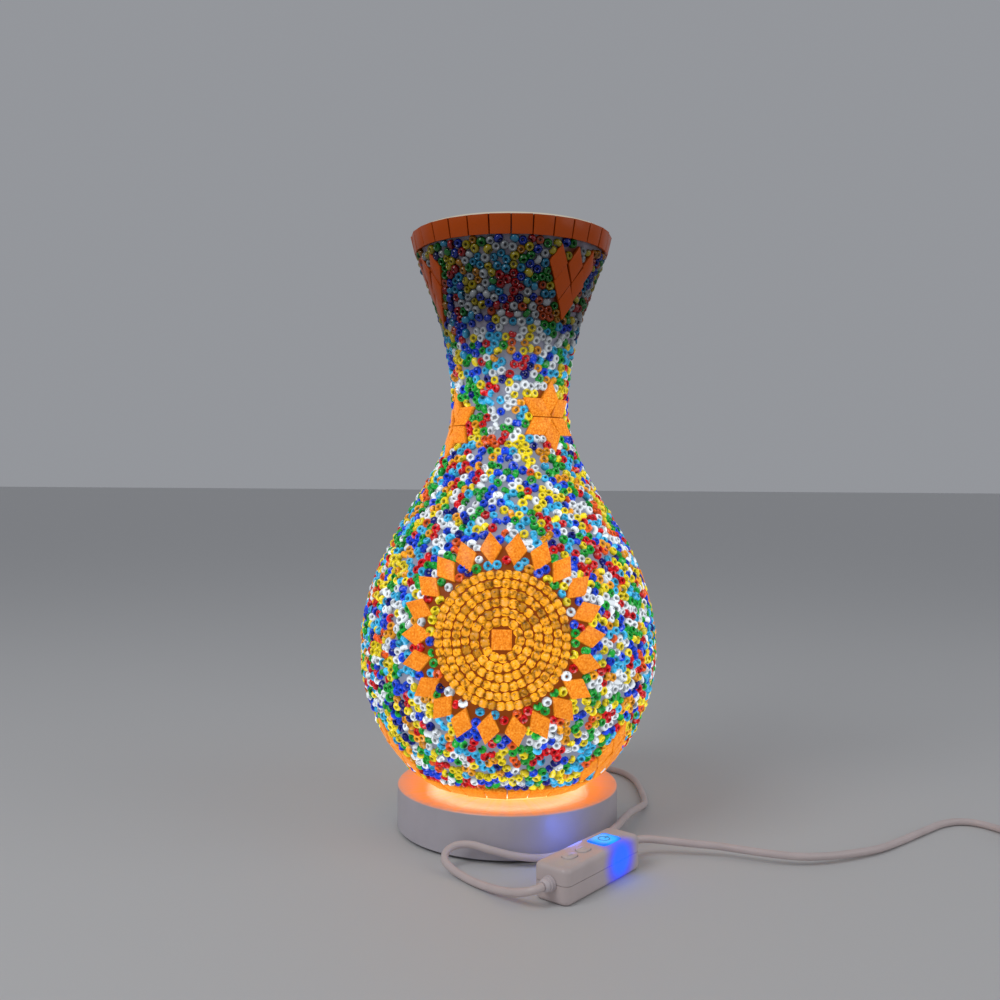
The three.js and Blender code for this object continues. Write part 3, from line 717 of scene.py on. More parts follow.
@dataclass(frozen=True)
class GlowPlasticFinish:
    """White plastic with a soft painted glow round a point inside it, in piece coordinates, its colour tinted
    towards the glow there.

    Attributes:
        name: the material's name.
        centre: where the light sits.
        reach: distance at which its glow ends.
        colour: colour of the glow.
        strength: brightness of the glow.
        body: colour of the plastic.
        flat: True where the glow depends on the distance in plan only.
        above: height that the glow starts over.
        core: colour near the light.
        roughness: mean roughness of the plastic.
        streaks: depth of the painted radial streaks in the glow.
        full: distance at which the glow starts to fade.
        hot: distance at which the core's colour ends.
    """

    name: str
    centre: tuple[float, float, float]
    reach: float
    colour: tuple[float, float, float]
    strength: float
    core: tuple[float, float, float]
    body: tuple[float, float, float] = (0.80, 0.77, 0.76)
    flat: bool = False
    above: float = -1.0
    roughness: float = 0.38
    streaks: float = 0.0
    full: float = 0.0
    hot: float = 0.01

    def made(self, effects: Effects) -> bpy.types.Material:
        """Build the material."""
        material, graph, shader = started(self.name)
        other = tuple(0.9 * part for part in self.body)
        mottle = placed_group(graph, effects.mottle, colour=self.body, other=other,
                              roughness=self.roughness, scale=60.0)
        graph.join(mottle.outputs["Roughness"], shader.inputs["Roughness"])
        bumped(graph, shader, mottle.outputs["Height"], 0.015 * MM)
        here = graph.place()
        split = graph.add("ShaderNodeSeparateXYZ")
        graph.join(here, split.inputs[0])
        scale = graph.add("ShaderNodeVectorMath", operation="MULTIPLY")
        graph.join(here, scale.inputs[0])
        scale.inputs[1].default_value = (1, 1, 0 if self.flat else 1)
        away = graph.add("ShaderNodeVectorMath", operation="DISTANCE")
        graph.join(scale.outputs["Vector"], away.inputs[0])
        away.inputs[1].default_value = self.centre
        near = graph.ramp(away.outputs["Value"], self.reach, self.full)
        over = graph.ramp(split.outputs["Z"], self.above, self.above + 0.6 * MM)
        mask = graph.math("MULTIPLY", near, over)
        if self.streaks:
            ray = graph.add("ShaderNodeTexNoise", noise_dimensions="1D")
            turn = graph.math("ARCTAN2", split.outputs["Y"], split.outputs["X"])
            graph.join(turn, ray.inputs["W"])
            ray.inputs["Scale"].default_value = 14.0
            ray.inputs["Detail"].default_value = 4.0
            uneven = graph.ramp(ray.outputs["Fac"], 0.25, 0.8)
            share = graph.math("ADD", graph.math("MULTIPLY", uneven, self.streaks), 1 - self.streaks)
            mask = graph.math("MULTIPLY", mask, share)
        hot = graph.ramp(away.outputs["Value"], self.hot, 0.5 * self.hot)
        # painted light: the base colour is tinted towards a darker copy of the glow colour where the glow is
        # painted
        painted_glow_tint = tuple(0.55 * part for part in self.colour)
        graph.join(graph.mix(mask, mottle.outputs["Colour"], painted_glow_tint), shader.inputs["Base Color"])
        colour = graph.mix(hot, self.colour, self.core)
        graph.join(graph.mix(mask, (0.0, 0.0, 0.0), colour), shader.inputs["Emission Color"])
        shader.inputs["Emission Strength"].default_value = self.strength
        shader.inputs["Coat Weight"].default_value = 0.15
        return material


def fitted(obj: bpy.types.Object, body: Body, material: bpy.types.Material,
           replaced: Iterable[str] = ()) -> bpy.types.Object:
    """Dress a finished piece and fix it to its body.

    Args:
        obj: the piece.
        body: the body that it moves with.
        material: its finish.
        replaced: the frame's nodes that it stands for.

    Returns:
        The piece.
    """
    obj.data.materials.clear()
    obj.data.materials.append(material)
    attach(obj, body.value)
    if replaced:
        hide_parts(*replaced)
    LOG.info("%s rides on %s", obj.name, body.value)
    return obj


# ---------- vase ----------


@dataclass
class Meridian:
    """Side line of the mosaic's outer surface, from the foot up to the rim.

    Attributes:
        foot_radius: radius where the line leaves the foot.
        belly_radius: largest radius.
        belly_height: its height over the base.
        neck_radius: smallest radius.
        neck_height: its height over the base.
        rim_radius: radius at the rim.
        height: height of the rim over the base.
        base_top: height of the base's top over the table.
        holds: share of each stretch over which its two ends keep their direction.
        steps: samples of each stretch.
    """

    foot_radius: float = 27.5 * MM
    belly_radius: float = 66.7 * MM
    belly_height: float = 60 * MM
    neck_radius: float = 26.5 * MM
    neck_height: float = 170 * MM
    rim_radius: float = 45 * MM
    height: float = 247 * MM
    base_top: float = 20.3 * MM
    holds: tuple[float, ...] = (0.49, 0.45, 0.47, 0.32, 0.52, 0.155)
    steps: int = 120

    def __post_init__(self) -> None:
        """Sample the three stretches and their outward normals."""
        foot, belly = self.foot_radius, self.belly_radius
        neck, rim = self.neck_radius, self.rim_radius
        low, mid, top = self.belly_height, self.neck_height, self.height
        spread, below, above, under, over, drop = self.holds
        stretches = (
            ((foot, 0), (foot + spread * (belly - foot), 0), (belly, low * (1 - below)), (belly, low)),
            ((belly, low), (belly, low + above * (mid - low)), (neck, mid - under * (mid - low)),
             (neck, mid)),
            ((neck, mid), (neck, mid + over * (top - mid)), (rim, top - drop * (top - mid)),
             (rim, top)),
        )
        t = np.linspace(0, 1, self.steps + 1)[:, None]
        weights = ((1 - t) ** 3, 3 * (1 - t) ** 2 * t, 3 * (1 - t) * t**2, t**3)
        lines = [sum(w * np.array(p, float) for w, p in zip(weights, points)) for points in stretches]
        line = np.vstack([lines[0], lines[1][1:], lines[2][1:]])
        lengths = np.linalg.norm(np.diff(line, axis=0), axis=1)
        self.arcs = np.concatenate([[0], np.cumsum(lengths)])
        along = np.gradient(line, axis=0)
        along /= np.linalg.norm(along, axis=1)[:, None]
        self.line = line
        self.out = np.stack([along[:, 1], -along[:, 0]], axis=1)

    @property
    def length(self) -> float:
        """Whole length of the line."""
        return float(self.arcs[-1])

    @property
    def belly_arc(self) -> float:
        """Distance along the line to the belly."""
        return float(self.arcs[self.steps])

    @property
    def neck_arc(self) -> float:
        """Distance along the line to the neck."""
        return float(self.arcs[2 * self.steps])

    def radius(self, arc: np.ndarray | float) -> np.ndarray:
        """Radius at distances along the line."""
        return np.interp(arc, self.arcs, self.line[:, 0])

    def inside(self, arc: np.ndarray | float, depth: np.ndarray | float) -> tuple[np.ndarray, np.ndarray]:
        """Radius and height of points under the surface.

        Args:
            arc: distances along the line.
            depth: how far under the surface.

        Returns:
            Radii and heights over the table.
        """
        out_r = np.interp(arc, self.arcs, self.out[:, 0])
        out_z = np.interp(arc, self.arcs, self.out[:, 1])
        height = self.base_top + np.interp(arc, self.arcs, self.line[:, 1])
        return self.radius(arc) - depth * out_r, height - depth * out_z

    def axes(self, azimuth: np.ndarray, arc: np.ndarray, depth: np.ndarray | float = 0.0) -> tuple:
        """Local axes of places on the surface.

        Args:
            azimuth: angles from the front, in radians.
            arc: distances along the line.
            depth: how far under the surface.

        Returns:
            (n, 3, 3) axes with right, up and outward as columns, and (n, 3) places.
        """
        out_r = np.interp(arc, self.arcs, self.out[:, 0])
        out_z = np.interp(arc, self.arcs, self.out[:, 1])
        size = np.hypot(out_r, out_z)
        out_r, out_z = out_r / size, out_z / size
        sin, cos = np.sin(azimuth), np.cos(azimuth)
        zero = np.zeros_like(sin)
        right = np.stack([cos, sin, zero], axis=1)
        up = np.stack([-out_z * sin, out_z * cos, out_r], axis=1)
        out = np.stack([out_r * sin, -out_r * cos, out_z], axis=1)
        radius, height = self.inside(arc, depth)
        places = np.stack([radius * sin, -radius * cos, height], axis=1)
        return np.stack([right, up, out], axis=2), places


@dataclass
class Tile:
    """A cut tile's place in its motif: its middle and its turn in degrees."""

    x: float
    y: float
    turn: float = 0.0


@dataclass
class Motif:
    """Tiles of one shape laid round one place on the vase.

    Attributes:
        name: the piece's name.
        node: the frame's node that it stands for.
        azimuth: degrees from the front.
        arc: distance along the meridian.
        outline: (k, 2) corners of one tile about its middle.
        tiles: the tiles' places.
    """

    name: str
    node: str
    azimuth: float
    arc: float
    outline: np.ndarray
    tiles: list[Tile]

    def corners(self) -> list[np.ndarray]:
        """Each tile's corners in the motif's flat plan."""
        found = []
        for tile in self.tiles:
            c, s = math.cos(math.radians(tile.turn)), math.sin(math.radians(tile.turn))
            found.append(self.outline @ np.array([[c, s], [-s, c]]) + (tile.x, tile.y))
        return found


@dataclass
class Mosaic:
    """Sizes and places of the mosaic's tiles and beads."""

    line: Meridian
    thick: float = 2.2 * MM
    grout: float = 0.5 * MM
    foot_ring_start: float = 11 * MM
    foot_ring_height: float = 8.4 * MM
    foot_ring_tiles: int = 28
    rim_ring_height: float = 8.2 * MM
    rim_ring_drop: float = 0.4 * MM
    rim_ring_tiles: int = 30
    rhomb_side: float = 9.5 * MM
    group_rows: int = 3
    sun_disc: float = 29 * MM
    sun_tile: float = 8 * MM
    sun_rings: int = 6
    sun_pitch: float = 3.95 * MM
    ray_count: int = 22
    ray_inner: float = 29.9 * MM
    ray_outer: float = 45.6 * MM
    ray_width: float = 9.7 * MM
    sun_turns: tuple[float, ...] = (-2.3, 117.7, -122.3)
    sun_rise: float = 14.2 * MM
    star_turns: tuple[float, ...] = (42.1, -66, 168)
    star_drops: tuple[float, ...] = (5.2 * MM, 9 * MM, 7 * MM)
    flare_turns: tuple[float, ...] = (44.5, -71, 166)
    flare_drops: tuple[float, ...] = (1.9 * MM, 2.7 * MM, 2.3 * MM)
    foot_turns: tuple[float, ...] = (53.5, -66.5, 173.5)
    foot_rise: float = 0.9 * MM

    @property
    def long(self) -> float:
        """Long diagonal of a sixty degree tile with its share of the grout."""
        return self.rhomb_side * math.sqrt(3)

    @property
    def foot_ring_end(self) -> float:
        """Upper edge of the foot's ring of tiles."""
        return self.foot_ring_start + self.foot_ring_height

    @property
    def rim_ring_start(self) -> float:
        """Lower edge of the rim's ring of tiles."""
        return self.line.length - self.rim_ring_drop - self.rim_ring_height

    @property
    def sun_arc(self) -> float:
        """Height of the suns along the meridian."""
        return self.line.belly_arc + self.sun_rise

    def rhomb(self, long: float, wide: float) -> np.ndarray:
        """Rhomb about the origin with its long diagonal upright, trimmed by half the grout."""
        side = math.hypot(long, wide) / 2
        trim = 1 - self.grout / 2 / (long * wide / (4 * side))
        return np.array([(0, -long / 2), (wide / 2, 0), (0, long / 2), (-wide / 2, 0)]) * trim

    def group(self, direction: int) -> list[Tile]:
        """Rows of one, two and three tiles that stand on one tip, or hang from it with direction -1."""
        tiles = []
        for row in range(self.group_rows):
            for i in range(row + 1):
                x = (i - row / 2) * self.rhomb_side
                tiles.append(Tile(x, direction * (row + 1) * self.long / 2))
        return tiles

    def motifs(self) -> list[Motif]:
        """All motifs of sixty degree tiles, and the suns' rays."""
        small = self.rhomb(self.long, self.rhomb_side)
        height = (self.group_rows + 1) * self.long / 2
        ray = self.rhomb(self.ray_outer - self.ray_inner, self.ray_width)
        star = self.wreath(self.long / 2, [60 * i for i in range(6)])
        rays = self.wreath((self.ray_inner + self.ray_outer) / 2,
                           [360 * (i + 0.5) / self.ray_count for i in range(self.ray_count)])
        flare_arcs = [self.rim_ring_start - drop - height for drop in self.flare_drops]
        foot_arc = self.foot_ring_end + self.foot_rise + height
        kinds = (
            ("star_tiles", "neck_star", self.star_turns,
             [self.line.neck_arc - drop for drop in self.star_drops], small, star),
            ("flare_tiles", "flare_tile_group", self.flare_turns, flare_arcs, small, self.group(1)),
            ("foot_tiles", "foot_tile_group", self.foot_turns, [foot_arc] * 3, small, self.group(-1)),
            ("sun_rays", "sun_ray_ring", self.sun_turns, [self.sun_arc] * 3, ray, rays),
        )
        return [Motif(f"{name}_{i}", f"{node}_{i}", turn, arc, outline, tiles)
                for name, node, turns, arcs, outline, tiles in kinds
                for i, (turn, arc) in enumerate(zip(turns, arcs), 1)]

    def wreath(self, reach: float, turns: Iterable[float]) -> list[Tile]:
        """Tiles round a point, each turned in degrees to point away from it."""
        return [Tile(-reach * math.sin(math.radians(turn)), reach * math.cos(math.radians(turn)), turn)
                for turn in turns]


@dataclass
class BeadLayout:
    """Loose beads spread over the mosaic between its tiles.

    Attributes:
        mosaic: the mosaic's sizes.
        pitch: mean distance between neighbours.
        radius: mean radius of a bead.
        rounds: how often the beads push each other apart.
    """

    mosaic: Mosaic
    pitch: float = 3.82 * MM
    radius: float = 1.93 * MM
    rounds: int = 44

    def neighbours(self, azimuth: np.ndarray, arc: np.ndarray, reach: float) -> tuple[np.ndarray, np.ndarray]:
        """Pairs of beads nearer than a distance."""
        places = self.points(azimuth, arc) / MM
        square = (places**2).sum(axis=1)
        apart = square[:, None] + square[None, :] - 2 * places @ places.T
        first, second = np.nonzero(apart < (reach / MM) ** 2)
        below = first < second
        return first[below], second[below]

    def push(self, azimuth: np.ndarray, arc: np.ndarray, motif: Motif, corners: np.ndarray,
             room: float) -> np.ndarray:
        """Push beads out of one convex tile.

        Args:
            azimuth: the beads' angles, changed in place.
            arc: the beads' distances along the meridian, changed in place.
            motif: the motif that the tile is in.
            corners: the tile's corners in the motif's plan.
            room: how far a bead's middle stays from the tile.

        Returns:
            How far each bead was inside that room.
        """
        radius = self.mosaic.line.radius(arc)
        turn = np.angle(np.exp(1j * (azimuth - math.radians(motif.azimuth))))
        place = np.stack([turn * radius, arc - motif.arc], axis=1)
        edges = np.roll(corners, -1, axis=0) - corners
        outward = np.stack([edges[:, 1], -edges[:, 0]], axis=1)
        outward /= np.linalg.norm(outward, axis=1)[:, None]
        beyond = ((place[:, None, :] - corners[None, :, :]) * outward[None, :, :]).sum(axis=2)
        nearest = beyond.argmax(axis=1)
        deep = np.clip(room - beyond.max(axis=1), 0, None)
        azimuth += deep * outward[nearest, 0] / radius
        arc += deep * outward[nearest, 1]
        return deep

    def push_from_disc(self, azimuth: np.ndarray, arc: np.ndarray, turn: float) -> np.ndarray:
        """Push beads out of a sun's disc of bead rings and return how far each was inside."""
        radius = self.mosaic.line.radius(arc)
        x = np.angle(np.exp(1j * (azimuth - math.radians(turn)))) * radius
        y = arc - self.mosaic.sun_arc
        away = np.hypot(x, y) + 1e-9
        deep = np.clip(self.mosaic.sun_disc + 0.95 * self.radius - away, 0, None)
        azimuth += deep * x / away / radius
        arc += deep * y / away
        return deep

    def start(self, rng: np.random.Generator) -> tuple[np.ndarray, np.ndarray]:
        """Uneven rows of beads all over the vase, as angles and distances along the meridian."""
        mosaic = self.mosaic
        azimuth, arc = [], []
        rows = np.arange(mosaic.foot_ring_end + self.radius, mosaic.rim_ring_start - self.radius,
                         0.82 * self.pitch)
        for i, row in enumerate(rows):
            count = int(2 * math.pi * mosaic.line.radius(row) / (0.95 * self.pitch))
            azimuth.append((np.arange(count) + 0.5 * (i % 2)) * 2 * math.pi / count)
            arc.append(np.full(count, row))
        azimuth, arc = np.concatenate(azimuth), np.concatenate(arc)
        uneven = 0.32 * self.pitch
        arc = arc + rng.normal(0, uneven, len(arc))
        azimuth = azimuth + rng.normal(0, uneven, len(arc)) / mosaic.line.radius(arc)
        return azimuth, arc

    def spread(self, rng: np.random.Generator) -> tuple[np.ndarray, np.ndarray, np.ndarray]:
        """Push the beads apart and out of the tiles.

        Args:
            rng: the source of their unevenness.

        Returns:
            Angles, distances along the meridian and relative sizes of the beads.
        """
        mosaic, line = self.mosaic, self.mosaic.line
        motifs = mosaic.motifs()
        azimuth, arc = self.start(rng)
        hidden = np.zeros(len(arc), bool)
        for motif in motifs:
            for corners in motif.corners():
                hidden |= self.push(azimuth.copy(), arc.copy(), motif, corners, 0.0) > 0.5 * MM
        for turn in mosaic.sun_turns:
            hidden |= self.push_from_disc(azimuth.copy(), arc.copy(), turn) > 1.1 * self.radius
        azimuth, arc = azimuth[~hidden], arc[~hidden]
        sizes = np.clip(rng.normal(1, 0.065, len(arc)), 0.84, 1.14)
        room = 0.9 * self.radius
        low, high = mosaic.foot_ring_end + 0.95 * self.radius, mosaic.rim_ring_start - 0.95 * self.radius
        for step in range(self.rounds):
            if step % 4 == 0:
                first, second = self.neighbours(azimuth, arc, 1.35 * self.pitch)
            radius = line.radius(arc)
            between = np.angle(np.exp(1j * (azimuth[first] - azimuth[second])))
            across = between * (radius[first] + radius[second]) / 2
            along = arc[first] - arc[second]
            away = np.hypot(across, along) + 1e-9
            want = self.pitch * (sizes[first] + sizes[second]) / 2
            move = 0.42 * np.clip(want - away, 0, None) / away
            for one, sign in ((first, 1), (second, -1)):
                azimuth += np.bincount(one, sign * move * across, len(arc)) / radius
                arc += np.bincount(one, sign * move * along, len(arc))
            for motif in motifs:
                for corners in motif.corners():
                    self.push(azimuth, arc, motif, corners, room)
            for turn in mosaic.sun_turns:
                self.push_from_disc(azimuth, arc, turn)
            np.clip(arc, low, high, out=arc)
        crowded = np.zeros(len(arc), bool)
        for motif in motifs:
            for corners in motif.corners():
                crowded |= self.push(azimuth.copy(), arc.copy(), motif, corners, room) > 0.5 * MM
        first, second = self.neighbours(azimuth, arc, 0.80 * self.pitch)
        for a, b in zip(first, second):
            if not (crowded[a] or crowded[b]):
                crowded[b] = True
        return self.filled(azimuth[~crowded], arc[~crowded], sizes[~crowded], rng)

    def filled(self, azimuth: np.ndarray, arc: np.ndarray, sizes: np.ndarray,
               rng: np.random.Generator) -> tuple[np.ndarray, np.ndarray, np.ndarray]:
        """Put more beads where there is room for them.

        Args:
            azimuth: angles of the beads.
            arc: their distances along the meridian.
            sizes: their relative sizes.
            rng: the source of the places tried.

        Returns:
            The same with the added beads.
        """
        mosaic, line = self.mosaic, self.mosaic.line
        tried = 60000
        turn = rng.uniform(-math.pi, math.pi, tried)
        rise = rng.uniform(mosaic.foot_ring_end + 0.9 * self.radius,
                           mosaic.rim_ring_start - 0.9 * self.radius, tried)
        kept = rng.random(tried) < line.radius(rise) / line.belly_radius
        turn, rise = turn[kept], rise[kept]
        free = np.ones(len(turn), bool)
        for motif in mosaic.motifs():
            for corners in motif.corners():
                free &= self.push(turn.copy(), rise.copy(), motif, corners, 0.86 * self.radius) == 0
        for sun in mosaic.sun_turns:
            free &= self.push_from_disc(turn.copy(), rise.copy(), sun) == 0
        turn, rise = turn[free], rise[free]
        old, new = self.points(azimuth, arc), self.points(turn, rise)
        least = 0.81 * self.pitch
        near = np.concatenate([self.nearest(part, old) for part in np.array_split(new, 40)])
        turn, rise, new = turn[near > least], rise[near > least], new[near > least]
        taken: list[int] = []
        for i in range(len(new)):
            if not taken or np.linalg.norm(new[taken] - new[i], axis=1).min() > least:
                taken.append(i)
        LOG.info("%d beads added in gaps", len(taken))
        more = np.clip(rng.normal(0.96, 0.05, len(taken)), 0.84, 1.06)
        return (np.concatenate([azimuth, turn[taken]]), np.concatenate([arc, rise[taken]]),
                np.concatenate([sizes, more]))

    def points(self, azimuth: np.ndarray, arc: np.ndarray) -> np.ndarray:
        """Places of beads on the surface."""
        radius, height = self.mosaic.line.inside(arc, 0.0)
        return np.stack([radius * np.sin(azimuth), -radius * np.cos(azimuth), height], axis=1)

    def nearest(self, some: np.ndarray, others: np.ndarray) -> np.ndarray:
        """Distance from each of some places to the nearest of others."""
        square = (some**2).sum(axis=1)[:, None] + (others**2).sum(axis=1)[None, :] - 2 * some @ others.T
        return np.sqrt(np.clip(square.min(axis=1), 0, None))


@dataclass
class Vase:
    """Blown vase with its tiles, beads and adhesive.

    Attributes:
        effects: shared node groups.
        rng: source of all unevenness.
        line: side line of the mosaic.
        skin: depth of the adhesive's inner face.
        bed: depth of the adhesive's outer face between the beads.
        glass_depth: depth of the glass.
        glass_wall: its thickness.
        around: facets round the glass and the adhesive.
        bead_height: height of a bead along its hole.
        hole: radius of a bead's hole.
        bead_sides: facets round a bead.
    """

    effects: Effects
    rng: np.random.Generator
    line: Meridian = field(default_factory=Meridian)
    skin: float = 3.0 * MM
    bed: float = 1.75 * MM
    glass_depth: float = 3.3 * MM
    glass_wall: float = 2.8 * MM
    around: int = 144
    bead_height: float = 2.7 * MM
    hole: float = 0.5 * MM
    bead_sides: int = 10

    def __post_init__(self) -> None:
        """Lay out the mosaic and make the tile finish."""
        self.mosaic = Mosaic(self.line)
        self.layout = BeadLayout(self.mosaic)
        self.tile_glass = TileFinish("orange tile glass").made(self.effects)

    def build(self) -> None:
        """Build and dress every piece of the vase."""
        self.build_glass()
        self.build_adhesive()
        for motif in self.mosaic.motifs():
            self.build_motif(motif)
        self.build_ring("foot_ring_tiles", "foot_tile_ring", self.mosaic.foot_ring_start,
                        self.mosaic.foot_ring_height, self.mosaic.foot_ring_tiles)
        self.build_ring("rim_ring_tiles", "rim_tile_ring", self.mosaic.rim_ring_start,
                        self.mosaic.rim_ring_height, self.mosaic.rim_ring_tiles)
        for number, turn in enumerate(self.mosaic.sun_turns, 1):
            self.build_sun(number, turn)
        self.build_field()

    def build_glass(self) -> None:
        """Clear glass: a thick bright foot, a thin wall and a lip that caps the rim's tiles."""
        floor = self.line.base_top + 1.0 * MM
        top = self.line.base_top + self.line.height
        rim = self.line.rim_radius
        arcs = np.concatenate([np.linspace(0.5 * MM, 9.5 * MM, 8),
                               np.linspace(12 * MM, self.line.length - 3 * MM, 90)])
        depth = np.where(arcs < 10 * MM, 0.8 * MM, self.glass_depth)
        outside = list(zip(*self.line.inside(arcs, depth)))
        outside = [(r, max(z, floor + 0.2 * MM)) for r, z in outside]
        lip = [(rim - inward * MM, top + rise * MM) for inward, rise in
               ((3.2, -1.2), (2.7, -0.2), (1.6, 0.12), (1.3, 0.35), (1.5, 0.62), (2.7, 0.78), (4.9, 0.7),
                (5.9, -0.2))]
        back = np.linspace(self.line.length - 2 * MM, 5 * MM, 90)
        inside = list(zip(*self.line.inside(back, self.glass_depth + self.glass_wall)))
        inside = [(r, max(z, floor + 2.4 * MM)) for r, z in inside]
        profile = [(0, floor), (26 * MM, floor), *outside, *lip, *inside, (0, floor + 2.4 * MM)]
        glass = turned("vase_glass", [(float(r), float(z)) for r, z in profile], self.around)
        fitted(glass, Body.VASE, VaseGlassFinish().made(), ["glass_vase"])

    def build_adhesive(self) -> None:
        """Uneven layer of adhesive that the beads and tiles sit in."""
        arcs = np.arange(self.mosaic.foot_ring_start - 0.6 * MM, self.line.length + 0.8 * MM, 1.9 * MM)
        outside = list(zip(*self.line.inside(arcs, self.bed)))
        inside = list(zip(*self.line.inside(arcs[::-1], self.skin)))
        profile = [(float(r), float(z)) for r, z in [*outside, *inside, outside[0]]]
        layer = turned("adhesive_layer", profile, 180)
        points = np.zeros(3 * len(layer.data.vertices))
        layer.data.vertices.foreach_get("co", points)
        points = points.reshape(-1, 3)
        radius = np.hypot(points[:, 0], points[:, 1])
        azimuth = np.arctan2(points[:, 0], -points[:, 1])
        line_r, line_z = self.line.inside(self.line.arcs, self.bed)
        away = (radius[:, None] - line_r) ** 2 + (points[:, 2][:, None] - line_z) ** 2
        arc = self.line.arcs[away.argmin(axis=1)]
        outer = away.min(axis=1) < (0.4 * MM) ** 2
        waves = sum(np.sin(k * azimuth + phase + arc / MM * q) for k, phase, q in
                    ((61, 0.3, 1.31), (47, 1.9, -0.87), (83, 4.0, 0.53), (29, 2.2, 1.93)))
        shift = np.where(outer, 0.07 * MM * waves, 0.0)
        points[:, 0] += shift * np.sin(azimuth)
        points[:, 1] -= shift * np.cos(azimuth)
        layer.data.vertices.foreach_set("co", points.ravel())
        sun = np.zeros(len(points))
        for turn in self.mosaic.sun_turns:
            x = np.angle(np.exp(1j * (azimuth - math.radians(turn)))) * self.line.radius(arc)
            away = np.hypot(x, arc - self.mosaic.sun_arc)
            sun = np.maximum(sun, np.clip((43 * MM - away) / (4 * MM), 0, 1))
        for motif in self.mosaic.motifs()[:9]:
            middle = np.mean([(tile.x, tile.y) for tile in motif.tiles], axis=0)
            beside = np.angle(np.exp(1j * (azimuth - math.radians(motif.azimuth))))
            x = beside * self.line.radius(arc) - middle[0]
            away = np.hypot(x, arc - motif.arc - middle[1])
            sun = np.maximum(sun, np.clip((14 * MM - away) / (2 * MM), 0, 1))
        attribute = layer.data.attributes.new("shine", "FLOAT", "POINT")
        attribute.data.foreach_set("value", sun.astype(np.float32))
        smooth(layer, 80)
        fitted(layer, Body.VASE, AdhesiveFinish().made(self.effects), ["bead_field"])

    def tile_stamp(self, outline: Sequence[tuple[float, float]]) -> Stamp:
        """One flat cut tile with its edges dulled, top face on the surface, with painted shade down its sides.
        """
        tile = slab("tile", [tuple(map(float, corner)) for corner in outline], 0.0, self.mosaic.thick)
        tile = applied(tile, "BEVEL", width=0.22 * MM, segments=2, limit_method="ANGLE", angle_limit=0.6)
        # painted light: bright top face, painted shade down the sides
        heights, shares = [-2.2, -0.5, -0.16, -0.02], [0.05, 0.28, 0.9, 1.0]
        return Stamp.of(tile, lambda points: np.interp(points[:, 2] / MM, heights, shares))

    def laid(self, copies: Copies, stamp: Stamp, azimuth: np.ndarray, arc: np.ndarray, turn: np.ndarray,
             tilt: float = 1.3, rise: float = 0.12 * MM) -> None:
        """Lay tiles on the surface, each a little out of true.

        Args:
            copies: where they are gathered.
            stamp: the tile.
            azimuth: angles from the front, radians.
            arc: distances along the meridian.
            turn: turn of each tile in its plane, radians.
            tilt: spread of the tilt, degrees.
            rise: spread of the height over the surface.
        """
        count = len(arc)
        axes, places = self.line.axes(azimuth, arc, self.rng.normal(0, rise, count))
        turns = axes @ spins(turn, self.rng.normal(0, math.radians(tilt), (count, 2)))
        copies.add(stamp, turns, places, self.rng.uniform(0.86, 1.0, count))

    def build_motif(self, motif: Motif) -> None:
        """Tiles of one motif."""
        stamp = self.tile_stamp(motif.outline)
        x = np.array([tile.x for tile in motif.tiles])
        y = np.array([tile.y for tile in motif.tiles])
        loose = 0.10 if len(motif.tiles) < 10 else 0.30
        x = x + self.rng.normal(0, loose * MM, len(x))
        y = y + self.rng.normal(0, loose * MM, len(y))
        wobble = self.rng.normal(0, 1.0 if loose < 0.2 else 3.5, len(x))
        turn = np.radians(np.array([tile.turn for tile in motif.tiles]) + wobble)
        arc = motif.arc + y
        azimuth = math.radians(motif.azimuth) + x / self.line.radius(arc)
        copies = Copies()
        self.laid(copies, stamp, azimuth, arc, turn)
        fitted(copies.made(motif.name, 25), Body.VASE, self.tile_glass, [motif.node])

    def build_ring(self, name: str, node: str, start: float, height: float, count: int) -> None:
        """Ring of tiles, each cut to the width that its place leaves."""
        wide = [2 * math.pi * float(self.line.radius(arc)) / count - self.mosaic.grout for arc in
                (start, start + height)]
        half = height / 2
        stamp = self.tile_stamp([(-wide[0] / 2, -half), (wide[0] / 2, -half), (wide[1] / 2, half),
                                 (-wide[1] / 2, half)])
        azimuth = 2 * math.pi * (np.arange(count) + 0.5) / count
        copies = Copies()
        self.laid(copies, stamp, azimuth, np.full(count, start + half), self.rng.normal(0, 0.012, count), 1.0,
                  0.08 * MM)
        fitted(copies.made(name, 25), Body.VASE, self.tile_glass, [node])

    def bead_stamps(self) -> tuple[Stamp, Stamp]:
        """One bead seen along its hole and the same bead seen from its side."""
        outer, half, hole = self.layout.radius, self.bead_height / 2, self.hole
        profile = [(hole, 0.66 * half), (0.66 * outer, half), (outer, 0.46 * half), (outer, -0.46 * half),
                   (0.66 * outer, -half), (hole, -0.66 * half), (hole, 0.66 * half)]

        def facing(p: np.ndarray) -> np.ndarray:
            """Painted light: bright shoulder, with painted shade on the sides and in the hole."""
            radius = np.hypot(p[:, 0], p[:, 1]) / outer
            top = np.interp(radius, [0.26, 0.34, 0.66, 1.0], [0.22, 0.34, 1.0, 0.66])
            return top * np.interp(p[:, 2] / half, [-1, 0.2, 0.5], [0.12, 0.5, 1.0])

        def sideways(p: np.ndarray) -> np.ndarray:
            """Painted light: bright sides, with painted shade at the ends."""
            radius = np.hypot(p[:, 0], p[:, 1]) / outer
            return np.interp(radius, [0.26, 0.34, 0.66, 1.0], [0.06, 0.08, 0.40, 1.0])

        return (Stamp.of(turned("bead", profile, self.bead_sides), facing),
                Stamp.of(turned("bead", profile, self.bead_sides), sideways))

